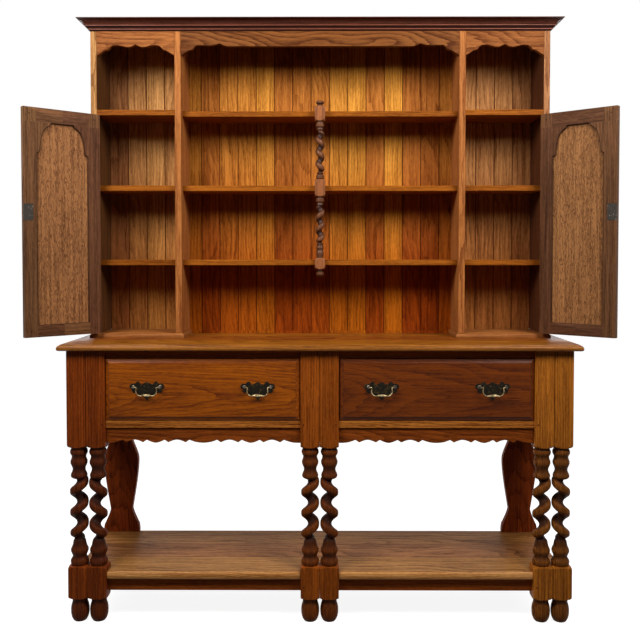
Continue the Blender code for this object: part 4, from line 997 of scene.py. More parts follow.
@dataclass(frozen=True)
class Turn:
    """One twisted stretch of a turned post.

    Attributes:
        bottom: The height where it starts.
        top: The height where it ends.
        reach: How far the strand's section reaches: its mean, and how much that grows and shrinks
            once and twice in a turn round it.
        core: The radius that its ends start from.
        pitch: How far it climbs in one turn.
        hand: 1 where it climbs to the right as seen from the front, or -1.
        crest_height: A height at which the crest points to +X, or to -X where hand is -1.
        runs: How long the strand takes to reach its full depth, from its bottom and from its top.
    """

    bottom: float
    top: float
    reach: Triple
    core: float
    pitch: float
    hand: int
    crest_height: float
    runs: Point

    @property
    def crest(self) -> float:
        """The radius at the strand's crest."""
        return sum(self.reach)

    def section(self) -> list[float]:
        """Work out the strand's section, as seen from above.

        Returns:
            The section's radius at each whole degree from its crest.
        """
        mean, once, twice = self.reach
        fine_steps = 4 * 360
        points = []
        for step in range(fine_steps):
            a = math.tau * step / fine_steps
            reach = mean + once * math.cos(a) + twice * math.cos(2 * a)
            slope = -once * math.sin(a) - 2 * twice * math.sin(2 * a)
            x = reach * math.cos(a) - slope * math.sin(a)
            y = reach * math.sin(a) + slope * math.cos(a)
            points.append((math.atan2(y, x) % math.tau, math.hypot(x, y)))
        points.sort()
        radii, index = [], 0
        for degree in range(360):
            while index < len(points) - 1 and points[index][0] < math.radians(degree):
                index += 1
            radii.append(points[index][1])
        return radii

    def radius(self, section: Sequence[float], angle: float, height: float) -> float:
        """Return how far the strand's surface is from the axis.

        Args:
            section: The section's radii.
            angle: The direction from the axis, in radians.
            height: The height.

        Returns:
            The radius in metres, or nothing past the stretch's ends.
        """
        if not self.bottom < height < self.top:
            return 0.0
        phase = self.hand * math.tau * (height - self.crest_height) / self.pitch
        phase += 0.0 if self.hand > 0 else math.pi
        place = math.degrees(angle - phase) % 360
        before = int(place) % 360
        full = section[before] + (section[(before + 1) % 360] - section[before]) * (place - int(place))
        share = min(1.0, (height - self.bottom) / self.runs[0], (self.top - height) / self.runs[1])
        return self.core + (full - self.core) * math.sin(math.pi / 2 * share)


@dataclass(frozen=True)
class Block:
    """One square stretch of a turned post, whose corners the lathe has rounded off at its ends.

    Attributes:
        bottom: The height where it starts.
        top: The height where it ends.
        half: Half its width.
        neck: The radius that its rounded ends start from.
        shoulder: How long each rounded end is, at the bottom and at the top.
        arris: How much is taken off its corners.
    """

    bottom: float
    top: float
    half: float
    neck: float
    shoulder: Point
    arris: float = 0.0012

    def radius(self, angle: float, height: float) -> float:
        """Return how far the block's surface is from the axis.

        Args:
            angle: The direction from the axis, in radians.
            height: The height.

        Returns:
            The radius in metres, or nothing past the block's ends.
        """
        if not self.bottom <= height <= self.top:
            return 0.0
        corner = self.half * math.sqrt(2) - self.arris
        reach = corner
        for distance, length in zip((height - self.bottom, self.top - height), self.shoulder):
            if length and distance < length:
                share = 1 - distance / length
                reach = min(reach, self.neck + (corner - self.neck) * math.sqrt(1 - share ** 2))
        return min(self.half / max(abs(math.cos(angle)), abs(math.sin(angle))), reach)


def steady_curve(points: Sequence[Point]) -> Callable[[float], float]:
    """Return a smooth radius for every height between the points of a turned profile.

    Args:
        points: The profile's (radius, height) points, from the top down.

    Returns:
        A function from a height to a radius.
    """
    rising = sorted({round(height, 6): radius for radius, height in points}.items())
    heights, radii = zip(*rising)
    climbs = [(radii[i + 1] - radii[i]) / (heights[i + 1] - heights[i]) for i in range(len(radii) - 1)]
    slopes = [0.0 if left * right <= 0 else 2 * left * right / (left + right)
              for left, right in zip(climbs, climbs[1:])]
    slopes = [0.0, *slopes, 0.0]

    def radius(height: float) -> float:
        """Read the profile at a height.

        Args:
            height: The height.

        Returns:
            The profile's radius there, which stays the same past its ends.
        """
        if height <= heights[0]:
            return radii[0]
        if height >= heights[-1]:
            return radii[-1]
        low = next(i for i, level in enumerate(heights) if level > height) - 1
        span = heights[low + 1] - heights[low]
        at_low, along_low, at_high, along_high = hermite((height - heights[low]) / span)
        return (at_low * radii[low] + along_low * span * slopes[low]
                + at_high * radii[low + 1] + along_high * span * slopes[low + 1])

    return radius


@dataclass
class TurnedPost:
    """A post turned from square stock: blocks, beads and twists on one axis.

    Attributes:
        node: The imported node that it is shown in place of.
        profile: The turned (radius, height) points, from the top down.
        turns: The twisted stretches.
        blocks: The square stretches.
        finish: The post's oak.
        step: The height of one ring of its mesh.
        sides: How many sides each ring has, a multiple of eight.
        notches: The heights of the middles of the notches in its back.
        notch: Half a notch's height, and how far behind the axis it starts.
    """

    node: str
    profile: list[Point]
    turns: list[Turn]
    blocks: list[Block]
    finish: Oak
    step: float = 0.0019
    sides: int = 40
    notches: tuple[float, ...] = ()
    notch: Point = (0.0098, 0.0117)

    def levels(self) -> list[float]:
        """Choose the heights of the mesh's rings, with few along a block's straight length.

        Returns:
            The heights, from the bottom up.
        """
        bottom, top = self.profile[-1][1], self.profile[0][1]
        count = round((top - bottom) / self.step)
        every = [bottom + (top - bottom) * index / count for index in range(count + 1)]
        kept = [level for level in every
                if not any(b.bottom + b.shoulder[0] + self.step < level < b.top - b.shoulder[1] - self.step
                           for b in self.blocks)]
        ends = [level for b in self.blocks for level in (b.bottom, b.top)]
        lips = [seat + sign * (self.notch[0] + lip) for seat in self.notches for sign in (-1, 1)
                for lip in (0.0, 0.0001)]
        return sorted(set(round(level, 6) for level in kept + ends + lips))

    def build(self) -> None:
        """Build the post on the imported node's axis."""
        axis = middle_of(self.node)
        turned = steady_curve(self.profile)
        strands = [(turn, turn.section()) for turn in self.turns]
        bm = bmesh.new()
        hollow = bm.verts.layers.float.new("hollow")
        rings = []
        for height in self.levels():
            notched = any(abs(height - seat) < self.notch[0] + 1e-5 for seat in self.notches)
            crest = max((turn.crest for turn in self.turns if turn.bottom < height < turn.top),
                        default=self.turns[0].crest)
            ring = []
            for index in range(self.sides):
                angle = math.tau * index / self.sides
                strand = max(turn.radius(section, angle, height) for turn, section in strands)
                block = max(block.radius(angle, height) for block in self.blocks)
                radius = max(turned(height), strand, block)
                behind = radius * math.sin(angle)
                if notched:
                    behind = min(behind, self.notch[1])
                vertex = bm.verts.new((axis.x + radius * math.cos(angle), axis.y + behind, height))
                # Blocks get none; turned parts a darker tone of at least half, plus painted shade that grows
                # the deeper a point lies below the crest
                vertex[hollow] = 0.0 if block else min(1.0, 0.50 + max(0.0, 1.0 - radius / crest) * 1.2)
                ring.append(vertex)
            rings.append(ring)
        add_piece(self.node + "_turned", skin(bm, rings), self.finish, body_of(self.node),
                  self.node, sharp=40.0)


@dataclass
class FrontLegs:
    """The six front legs: three pairs with mirrored twists.

    Attributes:
        upper_block: Where each upper block starts and ends.
        lower_block: Where each lower block starts and ends.
        half: Half a block's width.
        radius: The full radius of the turned parts.
        vase: The height of the turned part over the twist.
        bell: The height of the turned part under the twist.
        foot: The height of the turned foot.
        reach: How far a strand's section reaches, as a Turn's reach.
        core: The radius that a strand's ends start from.
        pitch: How far a strand climbs in one turn.
        runs: How long a strand takes to reach its full depth, from its bottom and from its top.
        phase_drop: How far below the twist's top its crest first points outward.
    """

    upper_block: Point = (0.570, 0.8867)
    lower_block: Point = (0.0765, 0.184)
    half: float = 0.031
    radius: float = 0.0295
    vase: float = 0.088
    bell: float = 0.072
    foot: float = 0.085
    reach: Triple = (0.0208, 0.0110, -0.0023)
    core: float = 0.006
    pitch: float = 0.0685
    runs: Point = (0.030, 0.016)
    phase_drop: float = 0.0268

    def profile(self) -> list[Point]:
        """Lay out the line that the lathe followed.

        Returns:
            The turned (radius, height) points, from the top down.
        """
        vase = [(0.82, 0.96), (0.92, 0.885), (0.955, 0.82), (0.92, 0.755), (0.79, 0.68), (0.775, 0.625),
                (0.85, 0.535), (0.915, 0.47), (0.91, 0.405), (0.82, 0.315), (0.71, 0.225), (0.69, 0.165),
                (0.75, 0.085), (0.87, -0.005), (0.90, -0.06), (0.84, -0.12), (0.55, -0.18), (0.15, -0.23)]
        bell = [(0.15, 1.30), (0.50, 1.20), (0.68, 1.07), (0.715, 0.98), (0.78, 0.87), (0.89, 0.77),
                (0.955, 0.68), (0.945, 0.62), (0.87, 0.54), (0.775, 0.44), (0.755, 0.39), (0.83, 0.32),
                (0.94, 0.245), (0.985, 0.18), (0.965, 0.10), (0.92, 0.03), (0.88, -0.03)]
        foot = [(0.82, 1.0), (0.82, 0.80), (0.83, 0.73), (0.90, 0.65), (0.955, 0.57), (0.99, 0.49),
                (1.0, 0.42), (0.985, 0.29), (0.93, 0.18), (0.85, 0.10), (0.74, 0.03), (0.66, 0.0)]
        stretches = ((vase, self.upper_block[0] - self.vase, self.vase),
                     (bell, self.lower_block[1], self.bell), (foot, 0.0, self.foot))
        return [(self.radius * 0.82, self.upper_block[1])] + [
            (self.radius * out, start + height * up)
            for points, start, height in stretches for out, up in points]

    def build(self) -> None:
        """Build the six legs."""
        bottom, top = self.lower_block[1] + self.bell, self.upper_block[0] - self.vase
        blocks = [Block(*self.upper_block, self.half, self.radius * 0.80, (0.012, 0.0)),
                  Block(*self.lower_block, self.half, self.radius * 0.84, (0.009, 0.007))]
        legs = [(place, side) for place in LEGS for side in SIDES]
        for number, (place, side) in enumerate(legs, 1):
            node = "front_leg_%s_pair_%s" % (place, side)
            hand = 1 if side == "left" else -1
            middle = middle_of(node)
            turn = Turn(bottom, top, self.reach, self.core, self.pitch, hand, top - self.phase_drop,
                        self.runs)
            oak = Oak(node + "_oak", LEGS[place], "ZXY", Figure.STRAIGHT,
                      (middle.x + 0.04 * (number % 3), middle.y), ring=0.0050, slope=0.03, seed=2.3 * number,
                      tone=1.0 + 0.06 * hand, contrast=1.6, shine=0.03, gloss=0.03, tone_and_valley_shade=True)
            TurnedPost(node, self.profile(), [turn], blocks, oak).build()


@dataclass
class Spindle:
    """The twisted spindle in front of the centre shelves.

    Attributes:
        seats: The heights of the middles of the three shelves that it is fixed to.
        half: Half a block's width.
        reach: How far a strand's section reaches, as a Turn's reach.
        core: The radius that a strand's ends start from.
        pitch: How far a strand climbs in one turn.
        run: How long a strand takes to reach its full depth.
    """

    seats: Triple = (1.6845, 1.426, 1.1675)
    half: float = 0.018
    reach: Triple = (0.0119, 0.0048, -0.0009)
    core: float = 0.003
    pitch: float = 0.042
    run: float = 0.016

    def profile(self) -> list[Point]:
        """Lay out the line that the lathe followed.

        Returns:
            The turned (radius, height) points, from the top down.
        """
        by_seat = (
            ((0.0040, 0.0435), (0.0112, 0.0420), (0.0146, 0.0372), (0.0130, 0.0330), (0.0088, 0.0300),
             (0.0125, 0.0245), (0.0125, -0.0290), (0.0125, -0.0335), (0.0146, -0.0370), (0.0146, -0.0460),
             (0.0108, -0.0510), (0.0122, -0.0570), (0.0030, -0.0650)),
            ((0.0030, 0.0590), (0.0118, 0.0520), (0.0098, 0.0470), (0.0138, 0.0430), (0.0138, 0.0345),
             (0.0120, 0.0300), (0.0120, -0.0340), (0.0144, -0.0380), (0.0144, -0.0460), (0.0104, -0.0520),
             (0.0121, -0.0580), (0.0030, -0.0660)),
            ((0.0030, 0.0730), (0.0122, 0.0650), (0.0103, 0.0600), (0.0137, 0.0520), (0.0113, 0.0440),
             (0.0137, 0.0330), (0.0120, 0.0180), (0.0120, -0.0240), (0.0098, -0.0320), (0.0142, -0.0370),
             (0.0127, -0.0440), (0.0070, -0.0490), (0.0020, -0.0508)),
        )
        return [(out, seat + up) for seat, points in zip(self.seats, by_seat) for out, up in points]

    def build(self) -> None:
        """Build the spindle, whose back is housed over the shelves' front edges."""
        high, middle, low = self.seats
        turns = [Turn(bottom, top, self.reach, self.core, self.pitch, hand, (bottom + top) / 2,
                      (self.run, self.run))
                 for bottom, top, hand in ((middle + 0.0500, high - 0.0550, -1),
                                           (low + 0.0630, middle - 0.0560, 1))]
        spans = ((-0.0290, 0.0245), (-0.0310, 0.0300), (-0.0240, 0.0160))
        blocks = [Block(seat + bottom, seat + top, self.half, 0.0125, (0.012, 0.010))
                  for seat, (bottom, top) in zip(self.seats, spans)]
        at = middle_of("spindle")
        oak = Oak("spindle_oak", SPINDLE, "ZXY", Figure.STRAIGHT, (at.x + 0.03, at.y), ring=0.0036,
                  slope=0.03, seed=5.1, tone=0.92, roughness=0.30, shine=0.14, gloss=0.10, tone_and_valley_shade=True)
        TurnedPost("spindle", self.profile(), turns, blocks, oak, step=0.0011, notches=self.seats).build()


@dataclass
class SawnBoards:
    """The boards that a bandsaw shaped: the three valances, the apron and the two rear legs.

    Attributes:
        rail_step: How far the apron stands back from the drawer rail over it.
        housing: How far behind the rail's front the two are let into the middle legs.
    """

    rail_step: float = 0.006
    housing: float = 0.008

    def build(self) -> None:
        """Build the six boards."""
        valances = {"left": (1.0, 1.2), "centre": (0.58, 2.4), "right": (0.92, 1.4)}
        for number, (place, (tone, contrast)) in enumerate(valances.items()):
            node = "valance_" + place
            low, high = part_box(node)
            self.board(node, Oak(node + "_oak", VALANCE, "XZY", Figure.CROWN,
                                 ((low.z + high.z) / 2 + 0.004, low.y), ring=0.0040, slope=0.03,
                                 seed=1.7 + 2.1 * number, tone=tone, contrast=contrast))
        for number, side in enumerate(SIDES):
            node = "rear_leg_" + side
            low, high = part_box(node)
            self.board(node, Oak(node + "_oak", DARK, "ZXY", Figure.CROWN, ((low.x + high.x) / 2, low.y),
                                 ring=0.0048, slope=0.03, seed=4.4 + number))
        self.apron()

    def board(self, node: str, oak: Oak) -> None:
        """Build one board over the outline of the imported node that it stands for.

        Args:
            node: The node.
            oak: The board's oak.
        """
        low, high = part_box(node)
        outline = round_off(flat_loops(node, FRONT, -low.y)[0], True)
        add_piece(node + "_sawn", sawn_board(outline, FRONT, high.y - low.y), oak, "root", node)

    def apron(self) -> None:
        """Build the apron with the drawer rail that stands proud over it."""
        low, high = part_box("apron")
        face, seat = low.y + self.rail_step, low.y + self.housing
        whole = [Vector((point.x, seat, point.z)) for point in flat_loops("apron", -FRONT, high.y)[0]]
        shape = sawn_board(round_off(whole, True), FRONT, high.y - seat)
        for outline in flat_loops("apron", FRONT, -face):
            sawn_board(round_off(outline, True), FRONT, seat - face, bm=shape)
        oak = Oak("apron_oak", BASE, "XZY", Figure.CROWN, (low.z - 0.02, low.y), seed=6.2)
        add_piece("apron_sawn", shape, oak, "root", "apron")
        shape = bmesh.new()
        for outline in flat_loops("apron", FRONT, -low.y):
            sawn_board(outline, FRONT, seat - low.y, bm=shape)
        rail_oak = replace(oak, name="drawer_rail_oak", stain=RAIL, seed=3.3, tone=0.86)
        add_piece("drawer_rail", shape, rail_oak, "root")


@dataclass
class Drawers:
    """The two drawers: fielded fronts on pale boxes.

    Attributes:
        moulding: How far in from the edge, and how far behind the field, each line of the field's
            border runs.
        box_arris: How wide the eased arrises of the boxes are.
    """

    moulding: tuple[Point, ...] = ((0.0, 0.0086), (0.0008, 0.0078), (0.0040, 0.0066), (0.0085, 0.0044),
                                   (0.0122, 0.0026), (0.0126, 0.0024), (0.0130, 0.0006), (0.0136, 0.0001),
                                   (0.0144, 0.0))
    box_arris: float = 0.0006

    def build(self) -> None:
        """Build the fronts and finish the boxes."""
        looks = {"left": (DRAWER, 1.0, 0.6), "right": (RUDDY_DRAWER, 0.82, 4.9)}
        for side, (stained, tone, seed) in looks.items():
            node = "drawer_front_" + side
            low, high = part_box(node)
            oak = Oak(node + "_oak", stained, "XZY", Figure.CROWN, ((low.z + high.z) / 2 - 0.01, low.y),
                      ring=0.0062, slope=0.05, seed=seed, tone=tone, roughness=0.34, shine=0.08, gloss=0.06)
            add_piece(node + "_fielded", fielded_board(low, high, self.moulding), oak, body_of(node),
                      node, sharp=20.0)
            dress("drawer_box_" + side, Oak("drawer_box_%s_oak" % side, LINING, "YZX", Figure.STRAIGHT,
                                            ring=0.0032, seed=seed + 2.0, roughness=0.55), self.box_arris)


@dataclass
class Handle:
    """One swan-neck handle: a batwing backplate, two knobbed posts and a bail.

    Attributes:
        drawer: The drawer's side.
        end: The end of the drawer that it is on.
        spacing: How far apart its posts stand.
        wire: The radius of the bail's wire.
        swell: How much thicker the bail's grip is.
        drop: How far the bail hangs.
        notch: How far aside the notches in the plate's top are, how deep, and how wide.
        stretch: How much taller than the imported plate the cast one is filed.
        lowered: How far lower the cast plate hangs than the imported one.
        thickness: The plate's thickness.
        seat: How far in front of the plate's back the posts start.
    """

    drawer: str
    end: str
    spacing: float = 0.085
    wire: float = 0.0018
    swell: float = 2.3
    drop: float = 0.0275
    notch: Triple = (0.0195, 0.0050, 0.0044)
    stretch: float = 1.07
    lowered: float = 0.0006
    thickness: float = 0.0018
    seat: float = 0.0017

    @property
    def stem(self) -> str:
        """The start of the names of the handle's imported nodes."""
        return "handle_%s_drawer_%s" % (self.drawer, self.end)

    def build(self) -> None:
        """Build the handle."""
        low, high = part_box(self.stem + "_bail")
        pin = Vector(((low.x + high.x) / 2, (low.y + high.y) / 2, high.z - self.wire))
        self.plate()
        for side, sign in zip(SIDES, (-1, 1)):
            self.post(side, pin + Vector((sign * self.spacing / 2, 0.0, 0.0)))
        self.bail(pin)

    def plate(self) -> None:
        """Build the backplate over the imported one's outline, with a filed edge all round."""
        node = self.stem + "_backplate"
        low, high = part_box(node)
        middle = (low + high) / 2
        front = high.y - self.thickness
        aside, depth, width = self.notch
        outline = []
        for p in round_off(flat_loops(node, FRONT, -front)[0], True, 50.0, 4, 0.02):
            up = p.z - middle.z
            notch = depth * math.exp(-((abs(p.x - middle.x) - aside) / width) ** 2) if up > 0 else 0.0
            outline.append(Vector((p.x, p.y, middle.z - self.lowered + up * self.stretch - notch)))
        add_piece(node + "_cast", sawn_board(outline, FRONT, self.thickness, self.thickness / 2), AGED_BRASS,
                  body_of(node), node, sharp=25.0)

    def post(self, side: str, pin: Vector) -> None:
        """Build one post: a collar on the plate, a neck and a round knob that holds the bail.

        Args:
            side: The post's side.
            pin: The middle of its knob.
        """
        plate = self.stem + "_backplate"
        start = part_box(plate)[1].y - self.seat
        reach = start - pin.y
        neck = [(0.0060, 0.0), (0.0060, 0.0012), (0.0046, 0.0022), (0.0030, 0.0036)]
        knob = [(0.0028, -0.0040), (0.0034, -0.0032), (0.0039, -0.0016), (0.0041, 0.0), (0.0039, 0.0016),
                (0.0032, 0.0030), (0.0018, 0.0039), (0.0004, 0.0042)]
        profile = neck + [(radius, reach + out) for radius, out in knob]
        line = round_off([Vector((radius, out, 0.0)) for radius, out in profile], False, 50.0, 3, 1.0)
        bm = bmesh.new()
        sections = [round_section(bm, Vector((pin.x, start - p.y, pin.z)), Vector((1.0, 0.0, 0.0)),
                                  Vector((0.0, 0.0, 1.0)), p.x, KNOB_SIDES) for p in line]
        add_piece("%s_post_%s" % (self.stem, side), skin(bm, sections), WORN_BRASS, body_of(plate),
                  sharp=50.0)

    def bail(self, pin: Vector) -> None:
        """Build the bail: a bent wire that swells into its grip.

        Args:
            pin: The middle between the two posts' knobs.
        """
        # How far in from a post, how far down as a share of the drop, and how thick, from post to grip
        bends = [(0.0005, 0.0, 1.0), (0.0082, 0.0, 1.0), (0.0102, 0.08, 1.0), (0.0098, 0.22, 1.0),
                 (0.0092, 0.42, 1.05), (0.0106, 0.65, 1.05), (0.0150, 0.87, 1.0), (0.0215, 0.98, 1.05),
                 (0.0268, 0.97, 1.25), (0.0322, 0.94, 1.75), (0.0380, 0.93, self.swell)]
        right = [Vector((self.spacing / 2 - inward, -self.drop * down, thick))
                 for inward, down, thick in bends]
        left = [Vector((-p.x, p.y, p.z)) for p in reversed(right)]
        grip = Vector((0.0, -self.drop * 0.93, self.swell))
        fine = round_off([*right, grip, *left], False, 179.0, 5, 10.0)
        bm = bmesh.new()
        sections = []
        for index, point in enumerate(fine):
            ahead, behind = fine[min(index + 1, len(fine) - 1)], fine[max(index - 1, 0)]
            way = Vector((ahead.x - behind.x, 0.0, ahead.y - behind.y)).normalized()
            sections.append(round_section(bm, pin + Vector((point.x, 0.0, point.y)),
                                          way.cross(FRONT).normalized(), FRONT, self.wire * point.z,
                                          WIRE_SIDES))
        node = self.stem + "_bail"
        add_piece(node + "_bent", skin(bm, sections), PALE_BRASS, body_of(node), node,
                  sharp=60.0)


@dataclass
class MouldedSlab:
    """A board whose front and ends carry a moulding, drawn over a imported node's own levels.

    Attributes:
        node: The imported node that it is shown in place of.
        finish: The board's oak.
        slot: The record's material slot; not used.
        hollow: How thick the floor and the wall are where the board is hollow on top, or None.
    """

    node: str
    finish: Oak
    slot: str
    hollow: Point | None = None

    def levels(self) -> list[Vector]:
        """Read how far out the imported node's moulding stands at each height.

        Returns:
            A point for each height, from the bottom up, with the moulding's Y and then the height.
        """
        middle = middle_of(self.node)
        found = {}
        for vertex in NODES[self.node].data.vertices:
            point = vertex.co
            if point.x < middle.x and point.y < middle.y:
                found.setdefault(round(point.z, 5), []).append(point.y)
        return [Vector((min(ys), z, 0.0)) for z, ys in sorted(found.items())]

    def build(self) -> None:
        """Build the board."""
        low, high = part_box(self.node)
        line = [(p.x - low.y, p.x, p.y) for p in round_off(self.levels(), False, 44.0, 4, 0.03)]
        if self.hollow:
            floor, wall = self.hollow
            line += [(line[0][0] + wall, line[0][1] + wall, z) for z in (high.z, low.z + floor)]
        bm = bmesh.new()
        stations = [[bm.verts.new((high.x - inset if right else low.x + inset, high.y if back else y, z))
                     for inset, y, z in line]
                    for right, back in ((False, True), (False, False), (True, False), (True, True))]
        for near, far in zip(stations, stations[1:]):
            for index in range(len(line) - 1):
                bm.faces.new((near[index], far[index], far[index + 1], near[index + 1]))
        first, last = stations[0], stations[-1]
        under, over = [[station[end] for station in stations] for end in (0, -1)]
        for face in (under, over, first, last, (first[0], first[-1], last[-1], last[0])):
            bm.faces.new(face)
        add_piece(self.node + "_moulded", bm, self.finish, "root", self.node,
                  sharp=42.0)


@dataclass
class Door:
    """One cupboard door: its frame, its arched panel, its bead, its pegs and its lock.

    Attributes:
        side: The cupboard's side.
        hinge_line: How far from the middle, and how far back, its hinge line stands.
        open_angle: How far it stands open.
        width: How wide it is.
        stile: How wide its stiles are.
        edge: How far its edge lies from the hinge line.
        inner_face: How far behind the hinge line its inner face lies when it is shut.
        arris: How wide the frame's eased arrises are.
        bead: The radius of the bead round its panel.
        bead_sunk: How deep the bead's middle lies, as a share of its radius.
        peg: The radius of a peg.
        peg_inset: How far a peg is from the frame's top or bottom.
    """

    side: str
    hinge_line: Point = (0.7675, 0.0135)
    open_angle: float = math.radians(139.5)
    width: float = 0.2645
    stile: float = 0.042
    edge: float = 0.0015
    inner_face: float = 0.0245
    arris: float = 0.0006
    bead: float = 0.0030
    bead_sunk: float = 0.92
    peg: float = 0.0032
    peg_inset: float = 0.020

    @property
    def body(self) -> str:
        """The name of the door's body, with which its nodes' names start."""
        return "door_" + self.side

    @property
    def hand(self) -> int:
        """Which way the shut door runs from its hinge line, along X."""
        return 1 if self.side == "left" else -1

    @property
    def pivot(self) -> Point:
        """Where the door's hinge line stands."""
        return -self.hand * self.hinge_line[0], self.hinge_line[1]

    @property
    def place(self) -> Matrix:
        """Where the open door stands, from a frame with the door shut and its hinge line at 0."""
        return Matrix.Translation((*self.pivot, 0.0)) @ Matrix.Rotation(-self.hand * self.open_angle, 4, "Z")

    @property
    def inward(self) -> Vector:
        """The way that the open door's inner face looks."""
        return self.place.to_3x3() @ Vector((0.0, 1.0, 0.0))

    def build(self) -> None:
        """Finish the door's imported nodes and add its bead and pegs."""
        seed, tones = (3.0, (0.92, 0.94)) if self.side == "left" else (8.0, (0.80, 0.83))
        oak = DoorOak(self.body + "_frame_oak", DOOR, "ZXY", Figure.STRAIGHT, seed=seed, tone=tones[0],
                      contrast=1.6, pivot=self.pivot, angle=-self.hand * self.open_angle, stile=self.stile,
                      width=self.width)
        panel_oak = replace(oak, name=self.body + "_panel_oak", stain=PANEL, figure=Figure.RAYED, ring=0.0036,
                            seed=seed + 1.5, tone=tones[1], contrast=1.5, stile=0.0, width=9.0,
                            levels=(-9.0, 9.0))
        dress(self.body + "_frame", oak, self.arris)
        dress(self.body + "_panel", panel_oak)
        dress(self.body + "_lock", OLD_IRON)
        # Painted shade: the bead is stained at half tone for the shadow line round the panel
        self.edge_bead(replace(oak, name=self.body + "_shade_painted_bead_oak", tone=0.50))
        self.pegs(replace(oak, name=self.body + "_peg_oak", tone=0.52))

    def edge_bead(self, oak: Oak) -> None:
        """Build the bead that the panel's opening is edged with, on the door's inner face.

        Args:
            oak: The bead's oak.
        """
        frame_node = self.body + "_frame"
        level = max(v.co.dot(self.inward) for v in NODES[frame_node].data.vertices)
        line = round_off(flat_loops(frame_node, self.inward, level)[1], True, 30.0, 4, 0.05)
        bm = bmesh.new()
        sections = []
        for index, point in enumerate(line):
            way = (line[(index + 1) % len(line)] - line[index - 1]).normalized()
            sections.append(round_section(bm, point - self.inward * self.bead * self.bead_sunk,
                                          way.cross(self.inward).normalized(), self.inward, self.bead,
                                          BEAD_SIDES))
        add_piece(self.body + "_bead", skin(bm, sections, endless=True), oak, self.body,
                  sharp=60.0)

    def pegs(self, oak: Oak) -> None:
        """Build the pegs that hold the frame's four joints.

        Args:
            oak: The pegs' oak.
        """
        low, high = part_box(self.body + "_frame")
        places = [(u, z) for u in (self.stile / 2, self.width - self.stile / 2)
                  for z in (low.z + self.peg_inset, high.z - self.peg_inset)]
        for number, (u, z) in enumerate(places, 1):
            at = self.place @ Vector((self.hand * (u + self.edge), self.inner_face, z))
            add_piece("%s_peg_%d" % (self.body, number), peg_shape(at, self.inward, self.peg), oak, self.body,
                      sharp=40.0)


